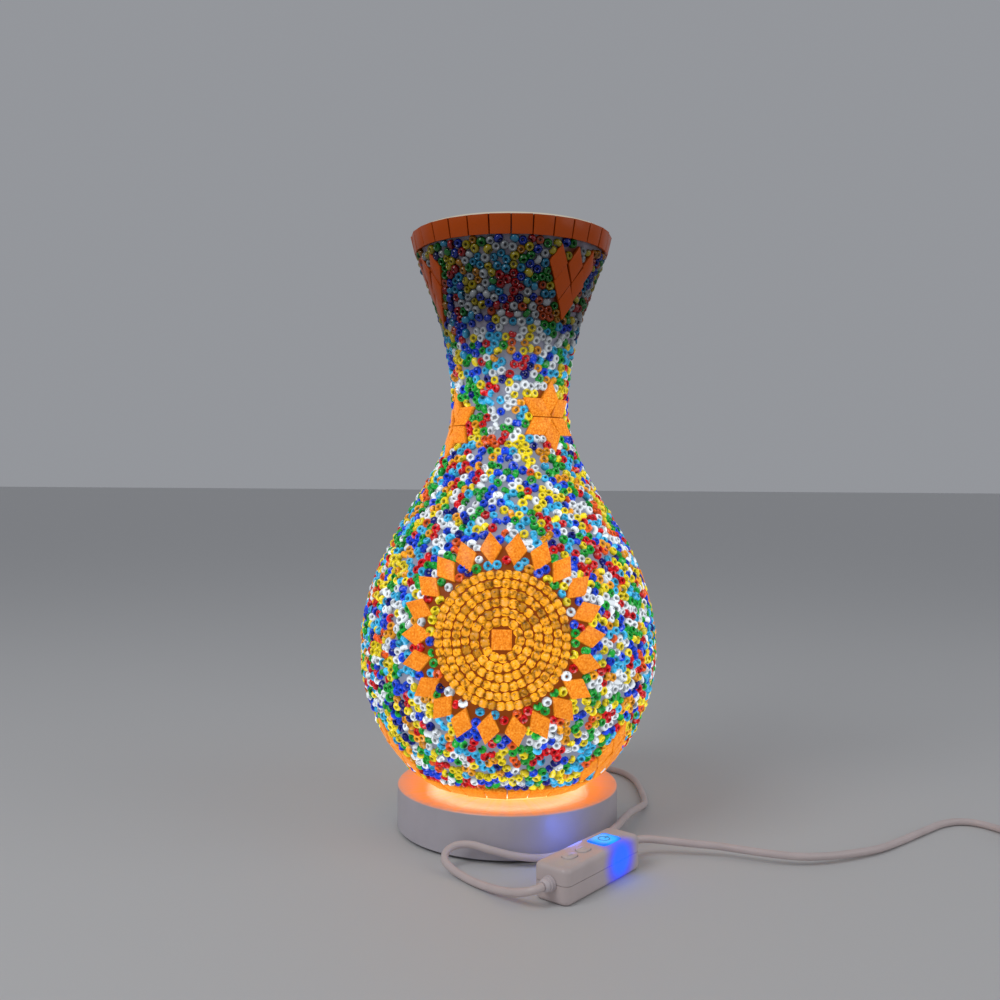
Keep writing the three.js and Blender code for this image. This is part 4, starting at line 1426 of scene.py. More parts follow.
    def build_sun(self, number: int, turn: float) -> None:
        """Centre tile and rings of side-on amber beads of one sun."""
        mosaic = self.mosaic
        half = mosaic.sun_tile / 2
        stamp = self.tile_stamp([(-half, -half), (half, -half), (half, half), (-half, half)])
        copies = Copies()
        self.laid(copies, stamp, np.array([math.radians(turn)]), np.array([mosaic.sun_arc]), np.zeros(1),
                  0.5, 0.0)
        fitted(copies.made(f"sun_middle_{number}", 25), Body.VASE, self.tile_glass,
               [f"sun_centre_tile_{number}"])

        x, y, ring_turn = [], [], []
        for ring in range(mosaic.sun_rings):
            radius = mosaic.sun_disc - mosaic.sun_pitch * (ring + 0.5)
            count = round(2 * math.pi * radius / (3.6 * MM))
            angle = 2 * math.pi * (np.arange(count) + self.rng.uniform(0, 1)) / count
            reach = radius + self.rng.normal(0, 0.12 * MM, count)
            x.append(reach * np.cos(angle))
            y.append(reach * np.sin(angle))
            ring_turn.append(angle)
        x, y, angle = (np.concatenate(part) for part in (x, y, ring_turn))
        square = np.maximum(abs(x), abs(y))
        clear = square > half + 0.62 * self.layout.radius
        push = np.where(clear, 1.0, (half + 0.8 * self.layout.radius) / np.maximum(square, MM))
        x, y = x * push, y * push
        arc = mosaic.sun_arc + y
        azimuth = math.radians(turn) + x / self.line.radius(arc)
        count = len(arc)
        axes, places = self.line.axes(azimuth, arc, 1.55 * MM)
        lying = lying_turns(angle + math.pi / 2 + self.rng.normal(0, 0.10, count),
                            self.rng.normal(0, 0.16, count))
        scale = self.rng.normal(1.0, 0.035, count)[:, None, None] * np.array([0.90, 0.94, 1.29])
        tones = self.rng.uniform(0.72, 1.0, count)
        brown = self.rng.random(count) < 0.10
        # painted glow: beads below the sun's middle are made brighter by low_glow
        low_glow = np.exp(-((x / (9 * MM)) ** 2 + ((y + 9 * MM) / (8 * MM)) ** 2))
        tones = np.where(brown, 0.55 * tones, tones) + 0.30 * low_glow
        copies = Copies()
        copies.add(self.bead_stamps()[1], axes @ (lying * scale), places, tones)
        amber = BeadFinish("sun bead glass", (0.94, 0.37, 0.012), 1.3, 0.08, 0.15).made(self.effects)
        fitted(copies.made(f"sun_beads_{number}", 75), Body.VASE, amber,
               [f"sun_bead_disc_{number}"])

    def build_field(self) -> None:
        """All the loose beads, one piece for each colour."""
        azimuth, arc, sizes = self.layout.spread(self.rng)
        count = len(arc)
        LOG.info("%d loose beads", count)
        facing, sideways = self.bead_stamps()
        shares = np.array([colour.share for colour in BeadColour])
        kind = self.rng.choice(len(shares), count, p=shares / shares.sum())
        first, second = self.layout.neighbours(azimuth, arc, 1.15 * self.layout.pitch)
        drawn = kind.copy()
        for one, other in zip(first, second):
            if self.rng.random() < 0.13:
                kind[other] = drawn[one]
        on_side = self.rng.random(count) < 0.20
        spin = self.rng.uniform(0, 2 * math.pi, count)
        tilt = self.rng.normal(0, math.radians(15), (count, 2))
        tones = self.rng.uniform(0.70, 1.0, count)
        flat = self.rng.normal(1.0, 0.07, count)
        depth = np.where(on_side, 1.45 * MM, 1.40 * MM) + self.rng.normal(0, 0.12 * MM, count)
        axes, places = self.line.axes(azimuth, arc, depth)
        standing = axes @ spins(spin, tilt)
        lying = axes @ lying_turns(spin, tilt[:, 0])
        scale = sizes[:, None, None] * np.stack([np.ones(count), np.ones(count), flat], axis=1)[:, None, :]
        for index, colour in enumerate(BeadColour):
            copies = Copies()
            for stamp, turns, chosen in ((facing, standing, ~on_side), (sideways, lying, on_side)):
                mine = chosen & (kind == index)
                copies.add(stamp, (turns * scale)[mine], places[mine], tones[mine])
            finish = BeadFinish(f"{colour.title} bead glass", colour.colour).made(self.effects)
            fitted(copies.made(f"beads_{colour.title}", 75), Body.VASE, finish)


def spins(turn: np.ndarray, tilt: np.ndarray) -> np.ndarray:
    """Turns in the surface's plane followed by two small tilts.

    Args:
        turn: (n,) angles about the outward axis, radians.
        tilt: (n, 2) angles about the right and up axes, radians.

    Returns:
        (n, 3, 3) rotations.
    """
    one, none = np.ones_like(turn), np.zeros_like(turn)
    c, s = np.cos(turn), np.sin(turn)
    about_z = rows((c, -s, none), (s, c, none), (none, none, one))
    c, s = np.cos(tilt[:, 0]), np.sin(tilt[:, 0])
    about_x = rows((one, none, none), (none, c, -s), (none, s, c))
    c, s = np.cos(tilt[:, 1]), np.sin(tilt[:, 1])
    about_y = rows((c, none, s), (none, one, none), (-s, none, c))
    return about_x @ about_y @ about_z


def rows(*parts: tuple[np.ndarray, ...]) -> np.ndarray:
    """Stack three rows of (n,) parts into (n, 3, 3) matrices."""
    return np.stack([np.stack(row, axis=1) for row in parts], axis=1)


def lying_turns(angle: np.ndarray, lift: np.ndarray) -> np.ndarray:
    """Turns that lay a piece's own axis in the surface, along an angle and lifted a little out of it."""
    c, s = np.cos(angle), np.sin(angle)
    up, flat = np.sin(lift), np.cos(lift)
    along = np.stack([flat * c, flat * s, up], axis=1)
    side = np.stack([-s, c, np.zeros_like(c)], axis=1)
    return np.stack([side, np.cross(along, side), along], axis=2)


# ---------- base, controller and cable ----------

CORD_FINISH = MouldedFinish("cable jacket", (0.66, 0.56, 0.55), (0.60, 0.51, 0.50), 0.36, 0.0, 0.01 * MM)


def catmull_rom(points: Sequence[tuple[float, float, float]], step: float = 1.0) -> list[Vector]:
    """Centripetal Catmull-Rom curve through points.

    Args:
        points: places that the curve goes through.
        step: distance between the samples, in the points' unit.

    Returns:
        Samples from the first point to the last.
    """
    knots = [Vector(p) for p in points]
    knots = [2 * knots[0] - knots[1], *knots, 2 * knots[-1] - knots[-2]]
    line = [knots[1]]
    for p0, p1, p2, p3 in zip(knots, knots[1:], knots[2:], knots[3:]):
        t0 = 0.0
        t1 = t0 + math.sqrt((p1 - p0).length)
        t2 = t1 + math.sqrt((p2 - p1).length)
        t3 = t2 + math.sqrt((p3 - p2).length)
        count = max(2, math.ceil((p2 - p1).length / step))
        for i in range(1, count + 1):
            t = t1 + (t2 - t1) * i / count
            a1 = (t1 - t) / (t1 - t0) * p0 + (t - t0) / (t1 - t0) * p1
            a2 = (t2 - t) / (t2 - t1) * p1 + (t - t1) / (t2 - t1) * p2
            a3 = (t3 - t) / (t3 - t2) * p2 + (t - t2) / (t3 - t2) * p3
            b1 = (t2 - t) / (t2 - t0) * a1 + (t - t0) / (t2 - t0) * a2
            b2 = (t3 - t) / (t3 - t1) * a2 + (t - t1) / (t3 - t1) * a3
            line.append((t2 - t) / (t2 - t1) * b1 + (t - t1) / (t2 - t1) * b2)
    return line


def path_length(line: Sequence[Vector]) -> float:
    """Length of a line of samples."""
    return sum((b - a).length for a, b in zip(line, line[1:]))


def tapered(name: str, start: Vector, along: Vector, profile: Sequence[tuple[float, float]],
            steps: int = 48) -> bpy.types.Object:
    """Turn a profile of (radius, distance) about a line.

    Args:
        name: the object's name.
        start: where the line starts.
        along: its direction.
        profile: closed profile that starts and ends on the axis.
        steps: facets round the axis.

    Returns:
        The turned solid in its place.
    """
    obj = turned(name, profile, steps)
    return placed(obj, Matrix.Translation(start) @ along.to_track_quat("Z", "Y").to_matrix().to_4x4())


def rod(name: str, radius: float, start: Vector, end: Vector, sides: int = 32) -> bpy.types.Object:
    """Cylinder between two points."""
    deselect()
    bpy.ops.mesh.primitive_cylinder_add(vertices=sides, radius=radius, depth=(end - start).length)
    turn = (end - start).to_track_quat("Z", "Y").to_matrix().to_4x4()
    return placed(named(name), Matrix.Translation((start + end) / 2) @ turn)


@dataclass
class Base:
    """Round lit base that the vase stands on.

    Attributes:
        effects: shared node groups.
        radius: outer radius.
        top: height of its top.
        foot: height of its lower edge over the table.
        wall: thickness of its side.
        roof: thickness of its top.
        disc: radius of the light disc.
    """

    effects: Effects
    radius: float = 50 * MM
    top: float = 20.3 * MM
    foot: float = 1.2 * MM
    wall: float = 2.2 * MM
    roof: float = 2.4 * MM
    disc: float = 30 * MM

    def build(self) -> None:
        """Build and dress the base."""
        self.build_shell()
        self.build_disc()
        self.build_gland()
        self.dress_inside()

    def build_shell(self) -> None:
        """White shell with a round shoulder, its plastic painted grey-lavender as shade, with a painted glow
        round the vase's foot.
        """
        edge = 1.3 * MM
        arc = [(self.radius - edge + edge * math.sin(a), self.top - edge + edge * math.cos(a))
               for a in np.linspace(0, math.pi / 2, 7)]
        inner = self.radius - self.wall
        hole = self.disc + 0.3 * MM
        under = self.top - self.roof
        profile = [(hole, self.top - 0.15 * MM), (hole + 0.3 * MM, self.top), *arc,
                   (self.radius, self.foot + 0.4 * MM), (self.radius - 0.4 * MM, self.foot),
                   (inner, self.foot),
                   (inner, under), (hole - 2.2 * MM, under), (hole - 2.2 * MM, under + 0.1 * MM),
                   (hole, under + 0.1 * MM), (hole, self.top - 0.15 * MM)]
        shell = turned("round_base", [(float(r), float(z)) for r, z in profile], 160)
        gap = rod("gland hole", 3.5 * MM, Vector((0, 44 * MM, 9 * MM)), Vector((0, 54 * MM, 9 * MM)))
        carved(shell, [gap])
        smooth(shell, 35)
        # painted light: orange glow with radial streaks on the top round the foot; the body colour is painted
        # grey-lavender as shade
        finish = GlowPlasticFinish("lit base plastic", (0, 0, 0), 75 * MM, (1.0, 0.235, 0.006), 0.86,
                                   (1.0, 0.42, 0.04), body=(0.52, 0.49, 0.54), flat=True,
                                   above=19.3 * MM, streaks=0.30, full=30 * MM, hot=44 * MM)
        fitted(shell, Body.BASE, finish.made(self.effects), ["base_shell"])

    def build_disc(self) -> None:
        """Diffuser over the lamps, a little proud of the top."""
        low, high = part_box("light_disc")
        edge = 0.4 * MM
        profile = [(0, low[2]), (self.disc, low[2]), (self.disc, high[2] - edge),
                   (self.disc - edge, high[2]), (0, high[2])]
        disc = turned("diffuser_disc", profile, 96)
        finish = GlowPlasticFinish("diffuser", (0, 0, 0), 60 * MM, (1.0, 0.62, 0.22), 0.9,
                                   (1.0, 0.86, 0.60), body=(0.8, 0.78, 0.75), flat=True, above=19.0 * MM,
                                   full=30 * MM, hot=22 * MM)
        fitted(disc, Body.BASE, finish.made(self.effects), ["light_disc"])

    def build_gland(self) -> None:
        """Cable gland: flange, ribbed tail and the neck through the wall."""
        profile = [(0, -3.0 * MM), (3.2 * MM, -3.0 * MM), (3.2 * MM, 0.05 * MM), (4.4 * MM, 0.05 * MM),
                   (4.4 * MM, 1.0 * MM), (3.6 * MM, 1.25 * MM)]
        for i in range(4):
            start = (1.7 + 1.55 * i) * MM
            outer = (3.05 - 0.22 * i) * MM
            profile += [(outer - 0.45 * MM, start - 0.2 * MM), (outer - 0.45 * MM, start + 0.25 * MM),
                        (outer, start + 0.5 * MM), (outer - 0.03 * MM, start + 1.1 * MM)]
        profile += [(1.95 * MM, 8.35 * MM), (1.75 * MM, 8.5 * MM), (0, 8.5 * MM)]
        gland = tapered("cable_gland", Vector((0, 50.15 * MM, 9 * MM)), Vector((0, 1, 0)), profile)
        fitted(smooth(gland, 30), Body.BASE, CORD_FINISH.made(self.effects), ["cord_gland"])

    def dress_inside(self) -> None:
        """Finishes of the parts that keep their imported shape."""
        plate = MouldedFinish("base plate plastic", (0.62, 0.60, 0.60), (0.56, 0.54, 0.54), 0.5)
        rubber = MouldedFinish("foot rubber", (0.03, 0.03, 0.032), (0.05, 0.05, 0.05), 0.75)
        steel = MouldedFinish("plated steel", (0.55, 0.55, 0.56), (0.45, 0.45, 0.46), 0.28, 1.0)
        board = MouldedFinish("board laminate", (0.02, 0.16, 0.07), (0.015, 0.12, 0.05), 0.35)
        dress(["base_plate"], plate, self.effects)
        dress([f"foot_pad_{i}" for i in range(1, 5)], rubber, self.effects)
        dress([f"plate_screw_{i}" for i in range(1, 4)], steel, self.effects)
        dress(["led_board", "controller_board"], board, self.effects)
        lens = GlowPlasticFinish("lamp lens", (0, 0, 10 * MM), 40 * MM, (1.0, 0.85, 0.55), 2.0,
                                 (1.0, 0.93, 0.78), body=(0.9, 0.85, 0.6))
        dress([f"led_{i}" for i in range(1, 7)], lens, self.effects)
        dress(["board_lead"], CORD_FINISH, self.effects)


def dress(nodes: Sequence[str], finish: MouldedFinish | GlowPlasticFinish, effects: Effects) -> None:
    """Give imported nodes' own objects a finish.

    Args:
        nodes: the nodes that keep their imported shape.
        finish: their finish, made once for each name.
        effects: shared node groups.
    """
    material = bpy.data.materials.get(finish.name) or finish.made(effects)
    for obj in bpy.data.objects:
        if obj.type != "MESH" or obj.name.split(".")[0] not in nodes:
            continue
        for place in obj.material_slots:
            place.material = material
        if not obj.material_slots:
            obj.data.materials.append(material)


@dataclass
class Controller:
    """In-line controller with two small keys and a lit power key.

    Attributes:
        effects: shared node groups.
        place: middle of its foot print.
        turn: direction of its long axis from +X.
        length: size along the cable.
        width: size across it.
        height: size over the table.
        corner: radius of its corners in plan.
        split: height of the parting line.
        lead: height of the cable's middle.
        dim_along: place of the dim key on the long axis.
        mode_along: place of the mode key on it.
        power_along: place of the power key on it.
    """

    effects: Effects
    place: tuple[float, float] = (32.2 * MM, -68.2 * MM)
    turn: float = math.radians(51.6)
    length: float = 52 * MM
    width: float = 16 * MM
    height: float = 14 * MM
    corner: float = 3.2 * MM
    split: float = 7.6 * MM
    lead: float = 7.6 * MM
    dim_along: float = -13.2 * MM
    mode_along: float = -4.1 * MM
    power_along: float = 10.5 * MM

    def __post_init__(self) -> None:
        """Work out the frame that its pieces are modelled in."""
        self.home = Matrix.Translation((*self.place, 0)) @ Matrix.Rotation(self.turn, 4, "Z")
        self.along = Vector((math.cos(self.turn), math.sin(self.turn), 0))

    def build(self) -> None:
        """Build and dress the controller."""
        self.build_shells()
        self.build_keys()
        self.build_reliefs()
        self.dress_inside()

    def build_shells(self) -> None:
        """Two halves of a soft-edged box, hollow, with holes for the keys, their plastic carrying a painted
        blue glow beside the power key.
        """
        white = (0.66, 0.56, 0.55)
        # painted light: blue glow painted on the shell round this point beside the power key
        centre = self.home @ Vector((self.power_along, -self.width / 2, 8.0 * MM))
        finish = GlowPlasticFinish("controller plastic with painted blue glow", tuple(centre), 13.5 * MM, (0.004, 0.012, 0.9), 1.0,
                                   (0.01, 0.13, 1.0), body=white, roughness=0.33, full=3.5 * MM,
                                   hot=9 * MM).made(self.effects)
        for name, node, low, high in (
                ("controller_base", "controller_lower_shell", 0.0, self.split - 0.15 * MM),
                ("controller_lid", "controller_upper_shell", self.split + 0.05 * MM, self.height)):
            shell = self.half(name, low, high)
            fitted(smooth(shell, 40), Body.BASE, finish, [node])

    def half(self, name: str, low: float, high: float) -> bpy.types.Object:
        """One half of the box between two heights, with its cavity and openings."""
        box = slab(name, stadium(self.length, self.width, self.corner), self.height, self.height)
        box = softened(box, 2.0 * MM, 4, 60)
        hollow = slab("hollow", stadium(self.length - 2.8 * MM, self.width - 2.8 * MM, self.corner - 1.4 * MM),
                      self.height - 1.4 * MM, self.height - 2.8 * MM)
        tools = [hollow, self.block("under", -20 * MM, low), self.block("over", high, 40 * MM)]
        for side in (-1, 1):
            end = side * self.length / 2
            tools.append(rod("relief hole", 2.3 * MM, Vector((end - 3 * MM, 0, self.lead)),
                             Vector((end + 3 * MM, 0, self.lead))))
        if high == self.height:
            tools.append(self.key_hole(self.dim_along, 7.3 * MM, 5.3 * MM, 2.6 * MM))
            tools.append(self.key_hole(self.mode_along, 7.3 * MM, 5.3 * MM, 2.6 * MM))
            tools.append(self.key_hole(self.power_along, 13.3 * MM, 9.7 * MM, 2.2 * MM))
        box = carved(box, tools)
        return placed(box, self.home)

    def block(self, name: str, low: float, high: float) -> bpy.types.Object:
        """Block wider than the box between two heights, or a sliver where they meet."""
        sliver = 0.001 * MM
        return slab(name, stadium(2 * self.length, 2 * self.width, self.corner), max(high, low + sliver),
                    max(high - low, sliver))

    def key_hole(self, along: float, length: float, width: float, corner: float) -> bpy.types.Object:
        """Tool for a key's opening in the lid."""
        tool = slab("key hole", stadium(length, width, corner), 30 * MM, 20 * MM)
        return placed(tool, Matrix.Translation((along, 0, 0)))

    def build_keys(self) -> None:
        """Two small white keys and the lit power key."""
        white = MouldedFinish("key plastic", (0.68, 0.59, 0.58), (0.64, 0.55, 0.54), 0.3)
        made = white.made(self.effects)
        for name, node, body, along in (("dim_key", "dim_button", Body.DIM, self.dim_along),
                                        ("mode_key", "mode_button", Body.MODE, self.mode_along)):
            key = self.key(name, node, along, 6.8 * MM, 4.8 * MM, 2.3 * MM, 0.45 * MM)
            fitted(key, body, made, [node])
        key = self.key("power_key", "power_button", self.power_along, 12.8 * MM, 9.2 * MM, 1.9 * MM,
                       0.7 * MM)
        centre = self.home @ Vector((self.power_along, 0, self.height))
        lit = GlowPlasticFinish("lit key plastic", tuple(centre), 20 * MM, (0.0, 0.15, 0.95), 1.0,
                                (0.01, 0.45, 1.0), body=(0.03, 0.16, 0.5), roughness=0.25, full=8 * MM,
                                hot=7 * MM)
        fitted(key, Body.POWER, lit.made(self.effects), ["power_button"])
        self.build_marks()

    def key(self, name: str, node: str, along: float, length: float, width: float, corner: float,
            soft: float) -> bpy.types.Object:
        """Cap of a key on the stem that reaches its switch.

        Args:
            name: the piece's name.
            node: the frame's node, which gives the heights.
            along: place on the controller's long axis.
            length: size of the cap along it.
            width: size of the cap across.
            corner: radius of the cap's corners in plan.
            soft: width of the cap's round edge.

        Returns:
            The key in its place.
        """
        low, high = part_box(node)
        cap = slab(name, stadium(length, width, corner, 6), high[2], high[2] - (self.height - 1.6 * MM))
        cap = softened(cap, soft, 3, 60)
        deselect()
        under_cap = self.height - 1.4 * MM
        bpy.ops.mesh.primitive_cylinder_add(vertices=20, radius=min(width, length) * 0.32,
                                            depth=under_cap - low[2],
                                            location=(0, 0, (under_cap + low[2]) / 2))
        stem = settle(named("stem"))
        applied(cap, "BOOLEAN", object=stem, operation="UNION", solver="EXACT")
        bpy.data.objects.remove(stem)
        placed(cap, self.home @ Matrix.Translation((along, 0, 0)))
        return smooth(cap, 40)

    def build_marks(self) -> None:
        """Raised signs on the keys: a bar, a ring, and a ring with a stroke."""
        pale = MouldedFinish("mark plastic", (0.10, 0.42, 0.80), (0.08, 0.36, 0.72), 0.35).made(self.effects)
        grey = MouldedFinish("raised mark plastic", (0.62, 0.58, 0.60), (0.58, 0.54, 0.56), 0.4)
        grey = grey.made(self.effects)
        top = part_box("dim_button")[1][2]
        bar = slab("dim_mark", stadium(3.2 * MM, 0.55 * MM, 0.25 * MM, 3), top + 0.12 * MM, 0.3 * MM)
        placed(bar, self.home @ Matrix.Translation((self.dim_along, 0, 0)))
        fitted(bar, Body.DIM, grey)
        ring = self.ring("mode_mark", 1.15 * MM, 0.28 * MM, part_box("mode_button")[1][2], self.mode_along)
        fitted(ring, Body.MODE, grey)
        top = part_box("power_button")[1][2]
        ring = self.ring("power_mark_ring", 2.3 * MM, 0.32 * MM, top, self.power_along)
        fitted(ring, Body.POWER, pale)
        stroke = slab("power_mark_stroke", stadium(2.6 * MM, 0.6 * MM, 0.28 * MM, 3), top + 0.16 * MM,
                      0.34 * MM)
        placed(stroke, self.home @ Matrix.Translation((self.power_along + 1.8 * MM, 0, 0)))
        fitted(stroke, Body.POWER, pale)

    def ring(self, name: str, radius: float, thick: float, top: float, along: float) -> bpy.types.Object:
        """Fine ring half sunk in a key's top."""
        deselect()
        bpy.ops.mesh.primitive_torus_add(major_radius=radius, minor_radius=thick, major_segments=40,
                                         minor_segments=8, location=(along, 0, top - thick * 0.4))
        return smooth(placed(settle(named(name)), self.home), 60)

    def build_reliefs(self) -> None:
        """Ribbed strain reliefs where the cables meet the ends."""
        finish = MouldedFinish("relief plastic", (0.68, 0.60, 0.62), (0.62, 0.55, 0.57), 0.38)
        finish = finish.made(self.effects)
        profile = [(radius * MM, ahead * MM) for radius, ahead in
                   ((0, -2.6), (2.9, -2.6), (2.9, -1.5), (2.15, -1.5), (2.15, 0.1), (3.05, 0.1), (3.05, 0.8),
                    (2.5, 1.0), (2.5, 1.4), (2.8, 1.6), (2.7, 2.3), (2.25, 2.5), (2.25, 2.9), (2.5, 3.1),
                    (2.35, 3.9), (1.95, 4.4), (1.8, 4.5), (0, 4.5))]
        for name, node, side in (("lamp_side_boot", "lamp_side_relief", -1),
                                 ("supply_side_boot", "supply_side_relief", 1)):
            start = Vector((*self.place, self.lead)) + side * (self.length / 2) * self.along
            boot = tapered(name, start, side * self.along, profile, 40)
            fitted(smooth(boot, 30), Body.BASE, finish, [node])

    def dress_inside(self) -> None:
        """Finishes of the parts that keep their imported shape."""
        black = MouldedFinish("switch plastic", (0.03, 0.03, 0.035), (0.05, 0.05, 0.05), 0.45)
        dress([f"controller_switch_{i}" for i in range(1, 4)], black, self.effects)
        centre = self.home @ Vector((9 * MM, 0, 8 * MM))
        lens = GlowPlasticFinish("indicator lens", tuple(centre), 20 * MM, (0.02, 0.1, 1.0), 4.0,
                                 (0.1, 0.4, 1.0), body=(0.1, 0.2, 0.8))
        dress(["indicator_led"], lens, self.effects)


@dataclass
class Cable:
    """Cable from the base through the controller to its coil and plug.

    Attributes:
        effects: shared node groups.
        radius: half the cable's thickness.
        coil: middle of the coil.
        columns: radii of the coil's columns of turns.
        layers: heights of its layers.
    """

    effects: Effects
    radius: float = 1.6 * MM
    coil: tuple[float, float] = (250.0, -26.0)
    columns: tuple[float, ...] = (14.3, 17.5, 20.7)
    layers: tuple[float, ...] = (2.5, 5.7, 8.9)

    LAMP_ROUTE = (
        (0, 59, 9), (0.2, 64, 8.7), (1.6, 70, 6.8), (6.4, 77.6, 3.8), (16.5, 85.8, 1.8), (30, 91, 1.65),
        (43, 91, 1.65), (54.3, 87, 1.65), (62, 79.2, 1.65), (66.2, 67.5, 1.65), (67.4, 53, 1.65),
        (67.4, 38, 1.65), (66.4, 26, 1.9), (62.4, 13.4, 4), (56.6, -1, 6.2), (51.8, -14.2, 7.5),
        (46.8, -26, 7.4), (38.2, -37.8, 6), (26.4, -46.6, 4.2), (13.7, -51.8, 3.4), (3, -53.4, 4.8),
        (-7, -53, 7), (-14.6, -51.9, 8.6), (-20.6, -52.2, 8.4), (-24.4, -54.4, 6.6), (-24.8, -58.2, 4.4),
        (-21.6, -62.6, 2.7), (-16.8, -68.2, 1.8), (-12, -74, 1.75), (-6.3, -80, 2.2), (-0.6, -86, 3.3),
        (4.1, -91, 4.9), (7.9, -94, 6.5), (10.6, -94.4, 7.4), (12.98, -92.46, 7.6))
    SUPPLY_ROUTE = (
        (51.42, -43.93, 7.6), (54, -41, 7.5), (58.8, -39, 7.2), (65, -38.6, 6.6), (76.4, -39, 5.6),
        (89, -40.1, 4.8), (99.9, -44, 4.5), (110.8, -47.3, 4.2), (120.1, -48.6, 3.9), (130.3, -46.7, 3.4),
        (141.4, -42.3, 2.8), (157.3, -33.6, 2), (171.7, -22.1, 1.65), (187.4, -8.7, 1.65), (198.5, 0.2, 1.65),
        (207.5, 3.9, 1.65), (215.2, 2.4, 1.65), (221.6, -5, 1.65), (225.4, -12.6, 1.9), (227.4, -16.2, 2.2))

    def coil_line(self) -> list[tuple[float, float, float]]:
        """Turns of the coil, laid column by column, then out to the plug, in millimetres."""
        stops = ((2, 0), (1, 0), (0, 0), (0, 1), (0, 2), (1, 2), (1, 1), (2, 1))
        starts = (180, 530, 890, 1210, 1570, 1890, 2210, 2530)
        points = []
        for turn in np.arange(163, 2880 + 1, 8.0):
            radius, height = 23.9, 2.5
            radius += 0.7 * max(0.0, min(1.0, (175 - turn) / 18.4))
            height -= 0.3 * max(0.0, min(1.0, (175 - turn) / 18.4))
            for (column, layer), start in zip(stops, starts):
                share = max(0.0, min(1.0, (turn - start) / 40))
                share = share * share * (3 - 2 * share)
                radius += share * (self.columns[column] - radius)
                height += share * (self.layers[layer] - height)
            angle = math.radians(turn)
            points.append((self.coil[0] + radius * math.cos(angle),
                           self.coil[1] + radius * math.sin(angle), height))
        x, y = self.coil[0] + self.columns[2], self.coil[1]
        for ahead, height in ((3, 5.7), (6, 5.7), (8, 5.6), (10, 5.2), (12.5, 4.4), (15.1, 4.0)):
            points.append((x, y + ahead, height))
        return points

    def build(self) -> None:
        """Build and dress both leads, the coil's tie and the plug."""
        jacket = CORD_FINISH.made(self.effects)
        lamp = self.lead("lamp_cord", self.lamp_line())
        fitted(lamp, Body.BASE, jacket, ["lamp_lead"])
        supply = self.lead("supply_cord", self.supply_line())
        fitted(supply, Body.BASE, jacket, ["supply_lead", "supply_coil"])
        self.build_tie()
        self.build_plug()

    def lamp_line(self) -> list[Vector]:
        """Samples of the lead from the base to the controller, in millimetres."""
        return catmull_rom(self.LAMP_ROUTE, 0.9)

    def supply_line(self) -> list[Vector]:
        """Samples of the lead from the controller through the coil to the plug, in millimetres."""
        return catmull_rom([*self.SUPPLY_ROUTE, *self.coil_line()], 0.9)

    def declare(self) -> None:
        """Work out the length of the supply lead; the leads are not declared as cords."""
        supply_length = path_length(self.supply_line()) * MM

    def lead(self, name: str, line: Sequence[Vector]) -> bpy.types.Object:
        """Round cable along a line given in millimetres."""
        curve = bpy.data.curves.new(name, "CURVE")
        curve.dimensions = "3D"
        curve.bevel_depth = self.radius
        curve.bevel_resolution = 3
        curve.use_fill_caps = True
        spline = curve.splines.new("POLY")
        spline.points.add(len(line) - 1)
        for point, place in zip(spline.points, line):
            point.co = (*(MM * place), 1.0)
        spline.use_smooth = True
        obj = bpy.data.objects.new(name, curve)
        bpy.context.scene.collection.objects.link(obj)
        return obj

    def build_tie(self) -> None:
        """Dress the tie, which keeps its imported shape."""
        finish = MouldedFinish("tie plastic", (0.72, 0.70, 0.70), (0.66, 0.64, 0.64), 0.35)
        dress(["coil_tie"], finish, self.effects)

    def build_plug(self) -> None:
        """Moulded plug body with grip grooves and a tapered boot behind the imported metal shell."""
        low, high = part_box("plug_overmould")
        x, z = (low[0] + high[0]) / 2, (low[2] + high[2]) / 2
        width, height = high[0] - low[0], high[2] - low[2]
        body_start = low[1] + 8 * MM
        body = self.block("plug_body", (x, (body_start + high[1]) / 2, z),
                          (width, high[1] - body_start, height))
        body = softened(body, 1.8 * MM, 4, 60)
        profile = [(radius * MM, ahead * MM) for radius, ahead in
                   ((0, 0), (2.2, 0), (2.5, 0.4), (2.9, 4), (3.5, 8), (3.5, 9.5), (0, 9.5))]
        boot = tapered("boot", Vector((x, low[1], z)), Vector((0, 1, 0)), profile, 32)
        applied(body, "BOOLEAN", object=boot, operation="UNION", solver="EXACT")
        bpy.data.objects.remove(boot)
        carved(body, [self.block("groove", (x + side * width / 2, body_start + (4.5 + 2.4 * i) * MM, z),
                                 (0.8 * MM, 1.0 * MM, height * 0.66)) for i in range(3) for side in (-1, 1)])
        plastic = MouldedFinish("plug plastic", (0.70, 0.66, 0.67), (0.64, 0.60, 0.61), 0.36)
        fitted(smooth(body, 40), Body.BASE, plastic.made(self.effects), ["plug_overmould"])
        shell = MouldedFinish("plated shell", (0.72, 0.72, 0.73), (0.62, 0.62, 0.63), 0.22, 1.0)
        dress(["plug_shield"], shell, self.effects)
        tongue = MouldedFinish("plug tongue plastic", (0.85, 0.85, 0.86), (0.8, 0.8, 0.8), 0.4)
        dress(["plug_tongue"], tongue, self.effects)

    def block(self, name: str, middle: tuple[float, ...], size: tuple[float, ...]) -> bpy.types.Object:
        """Block of a size about a middle."""
        deselect()
        bpy.ops.mesh.primitive_cube_add(size=1, location=middle)
        block = named(name)
        block.scale = size
        return settle(block)


# ---------- studio ----------


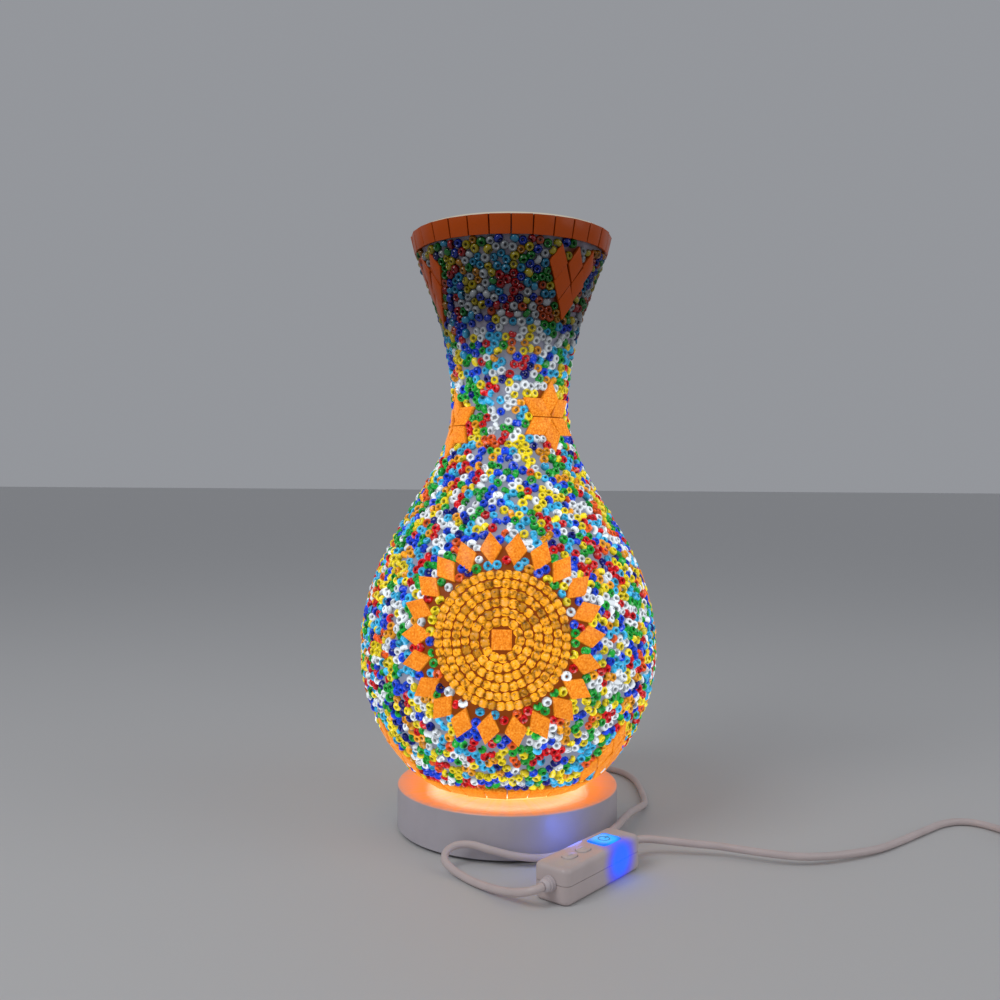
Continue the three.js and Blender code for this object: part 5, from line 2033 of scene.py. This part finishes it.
@dataclass(frozen=True)
class Viewpoint:
    """Camera in front of the lamp, level with the lower third of the vase.

    Attributes:
        place: where the camera stands.
        yaw: turn from +Y towards +X, degrees.
        pitch: upward tilt, degrees.
        roll: turn about the line of sight, degrees.
        lens: focal length in millimetres on a 36 mm sensor.
    """

    place: tuple[float, float, float] = (0.0, -0.4648, 0.1553)
    yaw: float = -0.52
    pitch: float = -0.85
    roll: float = 0.39
    lens: float = 36.67

    def build(self) -> None:
        """Add the camera."""
        yaw, pitch, roll = (math.radians(v) for v in (self.yaw, self.pitch, self.roll))
        ahead = Vector((math.sin(yaw) * math.cos(pitch), math.cos(yaw) * math.cos(pitch), math.sin(pitch)))
        right = Vector((math.cos(yaw), -math.sin(yaw), 0))
        up = right.cross(ahead)
        across = math.cos(roll) * right + math.sin(roll) * up
        upward = math.cos(roll) * up - math.sin(roll) * right
        camera = bpy.data.cameras.new("camera")
        camera.sensor_width = 36
        camera.lens = self.lens
        camera.clip_start = 0.01
        obj = bpy.data.objects.new("camera", camera)
        turn = Matrix((across, upward, -ahead)).transposed().to_4x4()
        obj.matrix_world = Matrix.Translation(self.place) @ turn
        bpy.context.scene.collection.objects.link(obj)
        bpy.context.scene.camera = obj


@dataclass(frozen=True)
class Studio:
    """Pale floor and backdrop under soft light.

    Attributes:
        floor: linear colour of the floor.
        world: brightness of the surroundings.
        key: power of the large soft lamp, watts.
        fill: power of the lamp opposite it, watts.
    """

    floor: tuple[float, float, float] = (0.62, 0.62, 0.62)
    world: float = 0.33
    key: float = 3.2
    fill: float = 1.1

    def build(self) -> None:
        """Add the floor, the surroundings and the lamps."""
        deselect()
        bpy.ops.mesh.primitive_plane_add(size=60.0)
        ground = named("floor")
        material, _, shader = started("floor paper")
        shader.inputs["Base Color"].default_value = (*self.floor, 1)
        shader.inputs["Roughness"].default_value = 0.6
        ground.data.materials.append(material)
        world = bpy.data.worlds.new("surroundings")
        world.use_nodes = True
        background = world.node_tree.nodes["Background"]
        background.inputs["Color"].default_value = (0.90, 0.93, 1.0, 1)
        background.inputs["Strength"].default_value = self.world
        bpy.context.scene.world = world
        key = self.soft_light("key light", (-0.55, -0.55, 0.85), self.key, 0.5)
        fill = self.soft_light("fill light", (0.8, -0.3, 0.5), self.fill, 0.6)
        spot = bpy.data.lights.new("indicator light", "POINT")
        spot.energy = 0.004
        spot.color = (0.05, 0.15, 1.0)
        spot.shadow_soft_size = 0.004
        blue = bpy.data.objects.new("indicator light", spot)
        blue.location = (0.027, -0.0565, 0.013)
        bpy.context.scene.collection.objects.link(blue)
        bpy.context.scene.view_settings.view_transform = "Standard"

    def soft_light(self, name: str, place: tuple[float, float, float], power: float,
                   size: float) -> bpy.types.Object:
        """Square lamp that faces the vase."""
        light = bpy.data.lights.new(name, "AREA")
        light.energy = power
        light.size = size
        obj = bpy.data.objects.new(name, light)
        aim = Vector((0, 0, 0.12)) - Vector(place)
        obj.matrix_world = Matrix.Translation(place) @ aim.to_track_quat("-Z", "Y").to_matrix().to_4x4()
        bpy.context.scene.collection.objects.link(obj)
        return obj


def main() -> None:
    """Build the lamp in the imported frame."""
    logging.basicConfig(level=logging.INFO, format="%(name)s: %(message)s")
    effects = Effects()
    Viewpoint().build()
    Studio().build()
    cable = Cable(effects)
    cable.build()
    Controller(effects).build()
    Base(effects).build()
    Vase(effects, np.random.default_rng(BEAD_SEED)).build()
    cable.declare()


if __name__ == "__main__":
    main()
